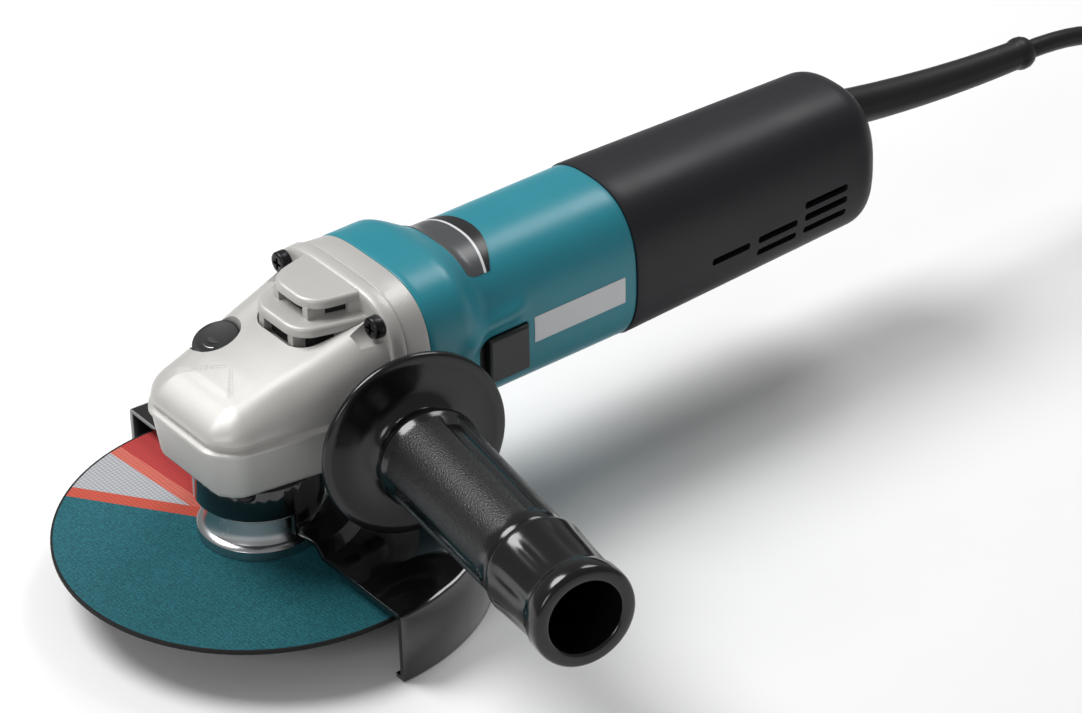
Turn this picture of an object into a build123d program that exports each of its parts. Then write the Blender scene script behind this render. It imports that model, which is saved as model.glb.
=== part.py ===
"""Angle grinder of the 150 mm class: bevel-gear head, cut-off wheel and guard, motor, rear cover, side handle, cord.

Frame: the origin is the spindle's free end, on its axis. +Z runs up the spindle, away from the wheel, +X along the
motor's axis towards the cord, and the side handle stands on -Y. Millimetres.
"""
from build123d import *
from math import atan2, cos, degrees, pi, radians, sin, tan
import os

os.makedirs("parts", exist_ok=True)

# ---- driving dimensions ----
wheel_radius = 75.0
wheel_thickness = 1.6
wheel_bore_radius = 11.11
wheel_top_z = 15.0              # the clamping face of the inner flange
wheel_bottom_z = wheel_top_z - wheel_thickness
floor_z = -6.0                  # the guard's skirt stands on it

axis_z = 70.2                   # the motor's axis, above the spindle's free end
parting_z = 67.2                # gear housing above, bearing box below
box_bottom_z = 48.0

nose_x = -31.0
flange_front_x = 36.0
flange_back_x = 42.0
cover_back_x = 52.0             # silver cover ends, motor housing starts
collar_end_x = 67.0
neck_end_x = 84.0
housing_end_x = 150.0           # motor housing ends, rear cover starts
rear_x = 271.0

# half width, half height and squareness of each section
flange_front, flange_back = (36.3, 36.8, 4.0), (36.3, 36.8, 3.8)
collar = (36.3, 36.8, 3.4)
grip = (28.2, 31.7, 2.6)
cover_front = (28.8, 32.15, 2.6)
cover_rear = (25.6, 29.4, 2.6)
wall = 3.0

shaft_radius = 5.0              # armature shaft, at its front bearing
spindle_thread_radius = 7.94    # 5/8-11 thread, at the spindle's free end
spindle_clamp_radius = 7.75     # where the nut and the inner flange hold it
spindle_end_length = 5.0        # the free end, below the nut
running = 0.05                  # radial clearance of a running fit

gear_teeth = 32
pinion_teeth = 10
gear_pitch_radius = 16.0
gear_ratio = gear_teeth / pinion_teeth
pinion_pitch_radius = gear_pitch_radius / gear_ratio
tooth_face = 6.5

lock_x, lock_y = -1.0, 19.5     # shaft-lock button, beside the spindle
lock_travel = 4.0
switch_travel = 6.0
brush_lift = 3.0


# ---- shared shapes ----
def across(x, z=axis_z):
    """The plane square to the motor's axis at x: local x along +Y, local y along +Z."""
    return Plane((x, 0, z), x_dir=(0, 1, 0), z_dir=(1, 0, 0))


def squircle(half_y, half_z, power, steps=24):
    """A rounded-square face, |y/a|^n + |z/b|^n = 1."""
    points = []
    for step in range(steps):
        turn = 2 * pi * step / steps
        reach = (abs(cos(turn)) ** power + abs(sin(turn)) ** power) ** (-1 / power)
        points.append((half_y * reach * cos(turn), half_z * reach * sin(turn)))
    with BuildSketch() as face:
        with BuildLine():
            Spline(*points, periodic=True)
        make_face()
    return face.sketch


def outline(points, nose_radius=0.0, cheek_radius=0.0):
    """A straight-sided face, with the corners of its lowest-x end, and those behind them, rounded where asked."""
    with BuildSketch() as face:
        with BuildLine():
            Polyline(*points, close=True)
        make_face()
        cheeks = face.vertices().group_by(Axis.X)[1]
        if nose_radius:
            fillet(face.vertices().group_by(Axis.X)[0], nose_radius)
        if cheek_radius:
            fillet(cheeks, cheek_radius)
    return face.sketch


def ring(outer, inner, low_z, high_z):
    """A round collar about Z."""
    return turned([(inner, low_z), (outer, low_z), (outer, high_z), (inner, high_z)])


def ring_x(outer, inner, front_x, back_x):
    """A round collar about the motor's axis."""
    return along_x([(front_x, inner), (front_x, outer), (back_x, outer), (back_x, inner)])


def rod_x(radius, front_x, back_x):
    """A round bar on the motor's axis."""
    return along_x([(front_x, 0), (front_x, radius), (back_x, radius), (back_x, 0)])


def pan_screw(shank_radius, length, head_radius, head_height):
    """A cross-head screw with its seat at the origin: the shank runs up local Z, the head down."""
    with BuildPart() as screw:
        Cylinder(shank_radius, length, align=(Align.CENTER, Align.CENTER, Align.MIN))
        Cylinder(head_radius, head_height, align=(Align.CENTER, Align.CENTER, Align.MAX))
        fillet(screw.edges().sort_by(Axis.Z)[0], head_height * 0.3)
        for turn in (0, 90):
            with Locations(Location((0, 0, -head_height), (0, 0, turn))):
                Box(head_radius * 1.1, head_radius * 0.28, head_height, mode=Mode.SUBTRACT)
    return screw.part


def spring(radius, wire_radius, low_z, high_z, turns, centre):
    """A round-wire coil spring standing on Z."""
    height = high_z - low_z - 2 * wire_radius
    with BuildPart() as coil:
        with BuildLine() as path:
            Helix(pitch=height / turns, height=height, radius=radius)
        with BuildSketch(path.line ^ 0):
            Circle(wire_radius)
        sweep(path=path.line, is_frenet=True)
    return coil.part.moved(Location((centre[0], centre[1], low_z + wire_radius)))


def shrunk(section, by):
    """The same section, smaller by a wall's thickness all round."""
    return (section[0] - by, section[1] - by, section[2])


def between(first, second, share):
    """A section part of the way from one to another, eased at both ends."""
    eased = share * share * (3 - 2 * share)
    return tuple(a + (b - a) * eased for a, b in zip(first, second))


def turned(points):
    """A solid of revolution about Z from (radius, z) points."""
    with BuildPart() as solid:
        with BuildSketch(Plane.XZ):
            add(outline(points))
        revolve(axis=Axis.Z)
    return solid.part


def along_x(points):
    """A solid of revolution about the motor's axis from (x, radius) points."""
    with BuildPart() as solid:
        with BuildSketch(Plane.XZ):
            add(outline([(x, radius + axis_z) for x, radius in points]))
        revolve(axis=Axis((0, 0, axis_z), (1, 0, 0)))
    return solid.part


def loft_x(sections, smooth=True):
    """A solid through squircle sections along the motor's axis, from (x, section) pairs."""
    with BuildPart() as body:
        for x, section in sections:
            with BuildSketch(across(x)):
                add(squircle(*section))
        loft(ruled=not smooth)
    return body.part


def save(part, label):
    part.label = label
    export_step(part, f"parts/{label}.step")


# ---- gear head: housing above the parting plane ----
head_outline = [(nose_x, -18), (-24, -26.5), (10, -32), (flange_front_x, -34.5),
                (flange_front_x, 34.5), (10, 32), (-24, 26.5), (nose_x, 18)]
nose_corner, cheek_corner = 9.0, 12.0
nose_top_z = 78.0
head_slope = 0.294              # rise of the sloping top per mm of length
slot_depth = 6.0
# each louvre hood: front x, half width in front, half width at the flange, top z, slot's z range
hoods = [(11.5, 13.0, 22.0, 99.0, (90.5, 95.0)), (20.0, 10.0, 14.5, 106.0, (99.2, 103.2))]
rib_y = 8.7
rib_width = 3.4
screw_y = screw_z = 27.8        # the flange's four screws, from the motor's axis
flange_screw_radius = 2.0
flange_hole_radius = 2.1
gear_room_radius = 24.6
gear_room_top_z = 72.5
pinion_room_radius = 12.0
top_bearing_z = 77.0
lock_recess_radius = 9.0
lock_recess_z = 77.0
lock_pin_radius = 2.8
handle_direction = Vector(-0.18, -1, 0.05).normalized()
handle_foot = Vector(33.0, -36.0, 64.9)       # where the side handle's stud meets the head
handle_thread_radius = 4.0                    # M8
handle_hole_depth = 14.0
handle_boss_radius = 7.0


def slope_z(x):
    """Height of the head's sloping top at x."""
    return nose_top_z + head_slope * (x - nose_x)


def hood_face(hood, grown=0.0):
    """A louvre hood's plan: a round-cornered front that widens towards the flange."""
    front_x, half_front, half_back = hood[0] - grown, hood[1] + grown, hood[2] + grown
    return outline([(front_x, half_front), (front_x, -half_front),
                    (flange_front_x, -half_back), (flange_front_x, half_back)], 6 + grown / 2)


def handle_plane(side):
    """The plane square to a side handle where it meets the head: side -1 is -Y, +1 is +Y."""
    foot = Vector(handle_foot.X, -side * handle_foot.Y, handle_foot.Z)
    out = Vector(handle_direction.X, -side * handle_direction.Y, handle_direction.Z)
    return Plane(foot, x_dir=Vector(0, 0, 1).cross(out), z_dir=out)


with BuildPart() as gear_housing:
    with BuildSketch(Plane.XY.offset(parting_z)):
        add(outline(head_outline, nose_corner, cheek_corner))
    extrude(amount=45)
    with BuildSketch(Plane.XZ):
        add(outline([(nose_x - 5, parting_z - 1), (nose_x - 5, slope_z(nose_x - 5)),
                     (flange_front_x, slope_z(flange_front_x)), (flange_front_x, parting_z - 1)]))
    extrude(amount=60, both=True, mode=Mode.INTERSECT)
    top_edges = gear_housing.faces().sort_by(Axis.Z)[-1].edges().filter_by(
        lambda e: e.center().X < flange_front_x - 1)
    fillet(top_edges, 6)
    for hood in hoods:
        with BuildSketch(Plane.XY.offset(84)):
            add(hood_face(hood))
        extrude(amount=hood[3] - 84)
    add(loft_x([(flange_front_x, flange_front), (flange_back_x, flange_back)]))
    # a boss each side for the side handle
    for side in (1, -1):
        with BuildSketch(handle_plane(side)):
            Circle(handle_boss_radius)
        extrude(amount=-12)
    # the louvre slots run round each hood below its lip, with ribs left standing in them
    for hood in hoods:
        slot_z, slot_top = hood[4]
        with BuildSketch(Plane.XY.offset(slot_z)):
            add(hood_face(hood, 0.2))
            add(hood_face(hood, -slot_depth), mode=Mode.SUBTRACT)
            with Locations((hood[0] + slot_depth / 2, rib_y), (hood[0] + slot_depth / 2, -rib_y)):
                Rectangle(2 * slot_depth, rib_width, mode=Mode.SUBTRACT)
            with Locations((flange_front_x, 0)):
                Rectangle(6, 80, mode=Mode.SUBTRACT)
        extrude(amount=slot_top - slot_z, mode=Mode.SUBTRACT)
    # pockets that clear the flange's upper screws, and the four screws' holes
    for side in (1, -1):
        with Locations((flange_front_x - 5, side * (screw_y + 4), axis_z + screw_z + 4)):
            Box(10, 18, 20, mode=Mode.SUBTRACT)
    with BuildSketch(across(flange_front_x)):
        with GridLocations(2 * screw_y, 2 * screw_z, 2, 2):
            Circle(flange_hole_radius)
    extrude(amount=flange_back_x - flange_front_x, mode=Mode.SUBTRACT)
    # rooms for the bevel gears, and the air duct that feeds the louvres from the fan
    add(ring(gear_room_radius, 0, parting_z - 30, gear_room_top_z), mode=Mode.SUBTRACT)
    add(rod_x(pinion_room_radius, 4, flange_back_x), mode=Mode.SUBTRACT)
    with Locations(((flange_back_x + 24) / 2, 0, 94)):
        Box(flange_back_x - 24, 24, 11, mode=Mode.SUBTRACT)
    # seats for the spindle's top bearing and for the shaft lock
    add(ring(8.5, 0, top_bearing_z - 6, 84.5), mode=Mode.SUBTRACT)
    with BuildSketch(Plane.XY.offset(lock_recess_z)):
        with Locations((lock_x, lock_y)):
            Circle(lock_recess_radius)
    extrude(amount=20, mode=Mode.SUBTRACT)
    with BuildSketch(Plane.XY.offset(gear_room_top_z - 1)):
        with Locations((lock_x, lock_y)):
            Circle(lock_pin_radius + running)
    extrude(amount=20, mode=Mode.SUBTRACT)
    for side in (1, -1):
        with BuildSketch(handle_plane(side)):
            Circle(handle_thread_radius)
        extrude(amount=-handle_hole_depth, mode=Mode.SUBTRACT)
save(gear_housing.part, "gear_housing")


# ---- gear head: the bearing box under the parting plane, and what closes the head ----
box_draft = 8.0                 # degrees
neck_radius = 21.0
neck_bottom_z = 30.0
ball_bearing = (17.5, 7.5, 36.0, 47.0)        # spindle's lower bearing: outer, inner radius, z range
flange_plate_x = flange_front_x - 0.1         # the box stops just short of the housing's flange
retainer_radius = 20.5
head_screw_spots = [(-18.5, 20.5), (-18.5, -20.5), (24, 25.5), (24, -25.5)]
head_screw_radius = 2.0

with BuildPart() as bearing_box:
    with BuildSketch(Plane.XY.offset(parting_z)):
        add(outline([(min(x, flange_plate_x), y) for x, y in head_outline], nose_corner, cheek_corner))
    extrude(amount=parting_z - box_bottom_z, dir=(0, 0, -1), taper=box_draft)
    chamfer(bearing_box.faces().sort_by(Axis.Z)[0].edges(), 2.5)
    add(ring(neck_radius, 0, neck_bottom_z, box_bottom_z + 1))
    add(ring(gear_room_radius, 0, 52.0, parting_z), mode=Mode.SUBTRACT)
    add(rod_x(pinion_room_radius, 4, flange_front_x + 1), mode=Mode.SUBTRACT)
    add(ring(ball_bearing[0], 0, ball_bearing[2], 60), mode=Mode.SUBTRACT)
    add(ring(retainer_radius, 0, ball_bearing[3], 60), mode=Mode.SUBTRACT)
    add(ring(12.0, 0, neck_bottom_z - 1, 60), mode=Mode.SUBTRACT)
    with Locations(*[Location((x, y, 40)) for x, y in head_screw_spots]):
        Cylinder(head_screw_radius + 0.1, 60, mode=Mode.SUBTRACT)
    for side in (1, -1):
        with BuildSketch(handle_plane(side)):
            Circle(handle_boss_radius + 0.2)
        extrude(amount=-handle_hole_depth - 1, mode=Mode.SUBTRACT)
save(bearing_box.part, "bearing_box")

with BuildPart() as bearing_box_screws:
    for x, y in head_screw_spots:
        add(pan_screw(head_screw_radius, 17, 3.4, 2.4).moved(Location((x, y, box_bottom_z))))
save(bearing_box_screws.part, "bearing_box_screws")

with BuildPart() as gear_housing_cover:
    add(loft_x([(flange_back_x, shrunk(flange_back, 0.2)), (cover_back_x, shrunk(collar, 0.2))]))
    with BuildSketch(across(flange_back_x)):
        Circle(shaft_radius + 3)
        with GridLocations(2 * screw_y, 2 * screw_z, 2, 2):
            Circle(flange_hole_radius)
        with PolarLocations(22.5, 8, start_angle=22.5):
            Circle(5.5)
    extrude(amount=cover_back_x - flange_back_x, mode=Mode.SUBTRACT)
    add(rod_x(15.0, flange_back_x + 1, cover_back_x + 1), mode=Mode.SUBTRACT)
save(gear_housing_cover.part, "gear_housing_cover")

with BuildPart() as gear_housing_screws:
    for side_y in (1, -1):
        for side_z in (1, -1):
            spot = Plane((flange_front_x, side_y * screw_y, axis_z + side_z * screw_z), z_dir=(1, 0, 0))
            add(pan_screw(flange_screw_radius, 29, 4.2, 4.0).moved(spot.location))
save(gear_housing_screws.part, "gear_housing_screws")

save(ring(ball_bearing[0], ball_bearing[1] + running, ball_bearing[2], ball_bearing[3]), "spindle_bearing")
save(ring(retainer_radius - 0.1, 8.6, ball_bearing[3], ball_bearing[3] + 2.5), "bearing_retainer")
save(ring(8.5, 5.0 + running, top_bearing_z, 84.0), "spindle_needle_bearing")
save(ring(11.9, 9.0 + running, neck_bottom_z + 0.5, ball_bearing[2] - 0.5), "spindle_seal")

# ---- spindle and what turns with it ----
inner_flange_radius = 22.3
nut_radius = 20.0
journal_radius = 5.0
gear_bore_radius = 7.0
gear_hub_z = 57.0

spindle = turned([(0, 0), (spindle_thread_radius, 0), (spindle_thread_radius, spindle_end_length),
                  (spindle_clamp_radius, spindle_end_length), (spindle_clamp_radius, 29), (9.0, 29), (9.0, 36),
                  (7.5, 36), (7.5, 47), (8.3, 47), (8.3, gear_hub_z), (gear_bore_radius, gear_hub_z),
                  (gear_bore_radius, 66.8), (journal_radius, 66.8), (journal_radius, 84.0), (0, 84.0)])
save(spindle, "spindle")

save(turned([(spindle_clamp_radius + 0.03, 13.7), (11.05, 13.7), (11.05, wheel_top_z), (17.5, wheel_top_z),
             (17.5, wheel_top_z + 0.6), (18.5, wheel_top_z + 0.6), (18.5, wheel_top_z),
             (inner_flange_radius, wheel_top_z), (inner_flange_radius, 19.0), (20.2, 20.4), (17.5, 22.0),
             (16.0, 24.5), (15.5, 29.0), (spindle_clamp_radius + 0.03, 29.0)]), "inner_flange")

save(turned([(spindle_clamp_radius + 0.03, spindle_end_length), (13.0, spindle_end_length), (14.0, 6.0), (14.0, 9.6),
             (nut_radius, 9.6), (nut_radius, wheel_bottom_z), (11.6, wheel_bottom_z), (11.6, 13.0),
             (spindle_clamp_radius + 0.03, 13.0)]), "lock_nut")

with BuildPart() as cutting_wheel:
    with BuildSketch(Plane.XY.offset(wheel_bottom_z)):
        Circle(wheel_radius)
        Circle(wheel_bore_radius, mode=Mode.SUBTRACT)
    extrude(amount=wheel_thickness)
save(cutting_wheel.part, "cutting_wheel")

# ---- bevel gears: the cones meet where the spindle's and the motor's axes cross ----
gear_cone = degrees(atan2(gear_pitch_radius, pinion_pitch_radius))
cone_length = gear_pitch_radius / sin(radians(gear_cone))
tooth_module = 2 * gear_pitch_radius / gear_teeth
addendum = 0.75 * tooth_module
dedendum = 1.0 * tooth_module
tooth_half_width = 0.61 * tooth_module
flank = tan(radians(20))
inner_share = (cone_length - tooth_face) / cone_length
lock_hole_radius = 3.2
rim_top_z = 60.5
rim_radius = 23.5


def bevel_tooth(cone_angle):
    """One tooth of a bevel gear whose apex is the origin and whose axis runs down -Z."""
    along = Vector(sin(radians(cone_angle)), 0, -cos(radians(cone_angle)))
    outward = Vector(cos(radians(cone_angle)), 0, sin(radians(cone_angle)))
    with BuildPart() as tooth:
        for share in (1.0, inner_share):
            spot = Plane(along * cone_length * share, x_dir=(0, 1, 0), z_dir=along)
            up = 1 if spot.y_dir.dot(outward) > 0 else -1
            tip, root = addendum * share, -(dedendum + 0.3 * tooth_module) * share
            tip_half = (tooth_half_width - addendum * flank) * share
            root_half = (tooth_half_width + (dedendum + 0.3 * tooth_module) * flank) * share
            with BuildSketch(spot):
                add(outline([(-root_half, up * root), (-tip_half, up * tip),
                             (tip_half, up * tip), (root_half, up * root)]))
        loft()
    return tooth.part


def root_point(cone_angle, share):
    """Distance from the gear's axis and height under the apex of the tooth root, at a share of the cone."""
    angle = radians(cone_angle)
    return (share * (cone_length * sin(angle) - dedendum * cos(angle)),
            share * (cone_length * cos(angle) + dedendum * sin(angle)))


outer_root, inner_root = root_point(gear_cone, 1.0), root_point(gear_cone, inner_share)
with BuildPart() as driven_gear:
    add(turned([(gear_bore_radius, gear_hub_z), (rim_radius, gear_hub_z), (rim_radius, rim_top_z),
                (outer_root[0] + 0.2, rim_top_z), (outer_root[0], axis_z - outer_root[1]),
                (inner_root[0], axis_z - inner_root[1]), (gear_bore_radius, axis_z - inner_root[1])]))
    gear_tooth = bevel_tooth(gear_cone)
    teeth = []
    for number in range(gear_teeth):
        teeth.append(Pos(0, 0, axis_z) * Rot(0, 0, 360 / gear_teeth * (number + 0.5)) * gear_tooth)
    add(teeth)
    with BuildSketch(Plane.XY.offset(gear_hub_z)):
        with PolarLocations((lock_x ** 2 + lock_y ** 2) ** 0.5, 6, start_angle=degrees(atan2(lock_y, lock_x))):
            Circle(lock_hole_radius)
    extrude(amount=rim_top_z - gear_hub_z, mode=Mode.SUBTRACT)
save(driven_gear.part, "driven_gear")

pinion_bore_radius = 3.5
pinion_hub_radius = 7.5
pinion_back_x = 30.0
outer_root, inner_root = root_point(90 - gear_cone, 1.0), root_point(90 - gear_cone, inner_share)
with BuildPart() as drive_pinion:
    add(along_x([(inner_root[1], 0), (inner_root[1], inner_root[0]), (outer_root[1], outer_root[0]),
                 (outer_root[1] + 1.5, outer_root[0] + 0.5), (19, pinion_hub_radius),
                 (pinion_back_x, pinion_hub_radius), (pinion_back_x, pinion_bore_radius),
                 (19, pinion_bore_radius), (19, 0)]))
    pinion_tooth = bevel_tooth(90 - gear_cone)
    teeth = []
    for number in range(pinion_teeth):
        about_x = Rot(360 / pinion_teeth * number, 0, 0) * Rot(0, -90, 0)
        teeth.append(Pos(0, 0, axis_z) * about_x * pinion_tooth)
    add(teeth)
save(drive_pinion.part, "drive_pinion")

# ---- shaft lock: button, pin and spring ----
button_radius = 8.7
button_bottom_z, button_top_z = 81.6, 86.4
button_pocket = (5.8, 84.4)
pin_bottom_z = 62.4

with BuildPart() as lock_button:
    with BuildSketch(Plane.XY.offset(button_bottom_z)):
        with Locations((lock_x, lock_y)):
            Circle(button_radius)
    extrude(amount=button_top_z - button_bottom_z)
    fillet(lock_button.faces().sort_by(Axis.Z)[-1].edges(), 1.2)
    with BuildSketch(Plane.XY.offset(button_bottom_z)):
        with Locations((lock_x, lock_y)):
            Circle(button_pocket[0])
    extrude(amount=button_pocket[1] - button_bottom_z, mode=Mode.SUBTRACT)
save(lock_button.part, "lock_button")

with BuildPart() as lock_pin:
    with BuildSketch(Plane.XY.offset(pin_bottom_z)):
        with Locations((lock_x, lock_y)):
            Circle(lock_pin_radius)
    extrude(amount=button_pocket[1] - pin_bottom_z)
save(lock_pin.part, "lock_pin")
save(spring(4.5, 0.4, lock_recess_z, button_pocket[1], 4, (lock_x, lock_y)), "lock_spring")


# ---- wheel guard: a pressed half-disc with a skirt, on a band clamped round the bearing box's neck ----
guard_radius = 84.1
guard_sheet = 2.0
guard_plate_z = 21.8            # top of the flat plate
guard_step_z = 25.5             # top of the raised hub
band_inner, band_outer = neck_radius + 0.08, 23.4
band_top_z = 44.5
ear_y, ear_z = 30.0, 38.0       # the clamp screw's axis
ear_slit = (-2.6, -0.1)

with BuildPart() as wheel_guard:
    add(turned([(22.2, guard_step_z - guard_sheet), (34.1, guard_step_z - guard_sheet),
                (37.6, guard_plate_z - guard_sheet), (guard_radius - guard_sheet, guard_plate_z - guard_sheet),
                (guard_radius - guard_sheet, floor_z + 1.6), (guard_radius - 4.6, floor_z + 1.6),
                (guard_radius - 4.6, floor_z), (guard_radius, floor_z), (guard_radius, guard_plate_z - 2.0),
                (guard_radius - 0.6, guard_plate_z - 0.6), (guard_radius - 2.0, guard_plate_z),
                (38.5, guard_plate_z), (35.0, guard_step_z), (27.0, guard_step_z), (24.4, guard_step_z + 0.8),
                (22.2, guard_step_z + 3.0)]))
    with Locations((-60, 0, 10)):
        Box(120, 200, 60, mode=Mode.SUBTRACT)
    add(ring(band_outer, band_inner, guard_step_z - guard_sheet, band_top_z))
    # the band's two ears, and the slit between them
    with Locations(((ear_slit[0] + ear_slit[1]) / 2, ear_y - 1.5, ear_z)):
        Box(14.5, 14, 12)
    with Locations(((ear_slit[0] + ear_slit[1]) / 2, ear_y, ear_z - 5)):
        Box(ear_slit[1] - ear_slit[0], 20, 24, mode=Mode.SUBTRACT)
    add(ring(band_inner, 0, floor_z, 60), mode=Mode.SUBTRACT)
    with BuildSketch(Plane((-20, ear_y, ear_z), z_dir=(1, 0, 0))):
        Circle(2.6)
    extrude(amount=40, mode=Mode.SUBTRACT)
save(wheel_guard.part, "wheel_guard")

ear_front_x = (ear_slit[0] + ear_slit[1]) / 2 - 7.25
ear_back_x = ear_front_x + 14.5
save(pan_screw(2.5, 20, 4.4, 4.0).moved(Plane((ear_front_x, ear_y, ear_z), z_dir=(1, 0, 0)).location),
     "guard_clamp_screw")

with BuildPart() as guard_clamp_nut:
    with BuildSketch(Plane((ear_back_x, ear_y, ear_z), z_dir=(1, 0, 0))):
        RegularPolygon(4.0, 6, major_radius=False)
        Circle(2.52, mode=Mode.SUBTRACT)
    extrude(amount=4)
save(guard_clamp_nut.part, "guard_clamp_nut")


# ---- side handle: a moulded grip on a steel stud screwed into the head ----
handle_length = 145.3           # from the head to the handle's outer end
disc_front = 20.5               # face of the hand guard disc towards the grip
disc_radius = 34.9
grip_bore_radius = 13.3
stud_radius = 3.95

handle_profile = [(stud_radius + 0.02, 0.05), (7.0, 0.05), (7.5, 1.0), (10.0, 4.0), (11.5, 12.0), (14.0, disc_front - 3.2),
                  (disc_radius - 0.5, disc_front - 3.0), (disc_radius, disc_front - 2.4),
                  (disc_radius, disc_front - 0.5), (disc_radius - 0.5, disc_front), (20.0, disc_front),
                  (16.0, 22.3), (15.2, 24.8), (16.2, 27.0), (18.8, 29.2), (19.2, 31.0), (18.6, 33.0), (18.2, 37.0),
                  (17.6, 60.0), (17.2, 104.0), (17.5, 108.2), (18.8, 109.0), (19.0, 110.6), (18.6, 112.4),
                  (17.2, 113.4), (16.8, 133.0), (17.2, 136.0), (18.3, 138.0), (18.6, 141.0), (18.3, 144.2),
                  (17.3, handle_length), (grip_bore_radius, handle_length), (grip_bore_radius, 88.0), (12.0, 85.0),
                  (0, 85.0), (0, 29.0), (stud_radius + 0.02, 29.0)]
save(turned(handle_profile).moved(handle_plane(-1).location), "side_handle")
save(turned([(0, 1 - handle_hole_depth), (stud_radius - 0.6, 1 - handle_hole_depth),
             (stud_radius, 2 - handle_hole_depth), (stud_radius, 28.8), (0, 28.8)])
     .moved(handle_plane(-1).location), "side_handle_stud")


# ---- motor housing: collar, waist and grip in one shell, with the rear bearing's seat as its tail ----
def grown_all(sections, by):
    """The same run of sections with every one smaller by a wall's thickness."""
    return [(x, shrunk(section, by)) for x, section in sections]


def block(low, high):
    """A rectangular block between two corners."""
    centre = (Vector(*low) + Vector(*high)) * 0.5
    with BuildPart() as solid:
        with Locations(centre):
            Box(high[0] - low[0], high[1] - low[1], high[2] - low[2])
    return solid.part


waist_shares = (0, 0.2, 0.4, 0.6, 0.8, 1)
waist = [(collar_end_x + (neck_end_x - collar_end_x) * share, between(collar, grip, share)) for share in waist_shares]
front_run = [(cover_back_x, collar), (collar_end_x, collar)]
back_run = [(neck_end_x, grip), (housing_end_x, grip)]

well_x = (75.2, 100.3)          # the switch's well in the -Y side
well_z = (54.0, 73.6)
well_floor_y = -26.2
pad_y = -24.9                   # inner face of the thicker wall behind the well
screw_boss_radius = 4.6
slot_x = (77.5, 90.5)
slot_z = (60.8, 67.2)
stator_section = (22.5, 28.4, 2.6)
stator_x = (86.0, 130.0)
rail_gaps = ((27, 26), (-4, 20), (-35, 26))   # the stator's rails stand between these, (centre, height)
rear_bearing = (11.0, 4.0, 171.0, 178.0)      # outer, inner radius, x range
tail_half_y, tail_half_z = 18.0, 18.0
tail_front_x, tail_back_x = 144.5, 180.0
brush_x = 154.5
brush_bridge = (14.0, 18.0)     # distance from the axis to the bridges that carry the brush holders
brush_holder = (12.3, 8.8)
post_z = axis_z - 20.5          # the post that the rear cover is screwed to
post_end_x = 263.4
clamp_x = (250.0, 258.0)

relief_stations = (263.0, 280.0, 296.0, 312.0, 328.0, 344.0, 356.0, 361.0)
relief_end_x = 367.6


def cord_height(x):
    """Height of the cord's centre inside the strain relief, which droops a little."""
    return 83 - 0.1395 * (x - 274) + 0.0008 * (x - 274) * (x - 317)


def cord_plane(x):
    """The plane square to the cord inside the strain relief."""
    slope = -0.1395 + 0.0008 * (2 * x - 274 - 317)
    return Plane((x, 0, cord_height(x)), x_dir=(0, 1, 0), z_dir=Vector(1, 0, slope).normalized())


def along_cord(stations, smooth=True):
    """A round solid along the drooping cord, from (x, radius) pairs."""
    with BuildPart() as solid:
        for x, radius in stations:
            with BuildSketch(cord_plane(x)):
                Circle(radius)
        loft(ruled=not smooth)
    return solid.part


cord_radius = 3.75
lead_start_x = 242.0
lead_in_stations = (lead_start_x, 256.0) + relief_stations + (relief_end_x,)
cord_lead_in = along_cord([(x, cord_radius) for x in lead_in_stations])
cord_room = along_cord([(x, cord_radius + 0.05) for x in (238.0,) + lead_in_stations[1:-1] + (372.0,)])

with BuildPart() as hollow:
    for run in (front_run, waist, back_run):
        add(loft_x(grown_all(run, wall)))
    with Locations((87.7, -32, 64.0)):
        Box(29.4, 2 * (32 + pad_y), 24, mode=Mode.SUBTRACT)
    with BuildSketch(across(cover_back_x)):
        with GridLocations(2 * screw_y, 2 * screw_z, 2, 2):
            Circle(screw_boss_radius)
    extrude(amount=14, mode=Mode.SUBTRACT)

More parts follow.
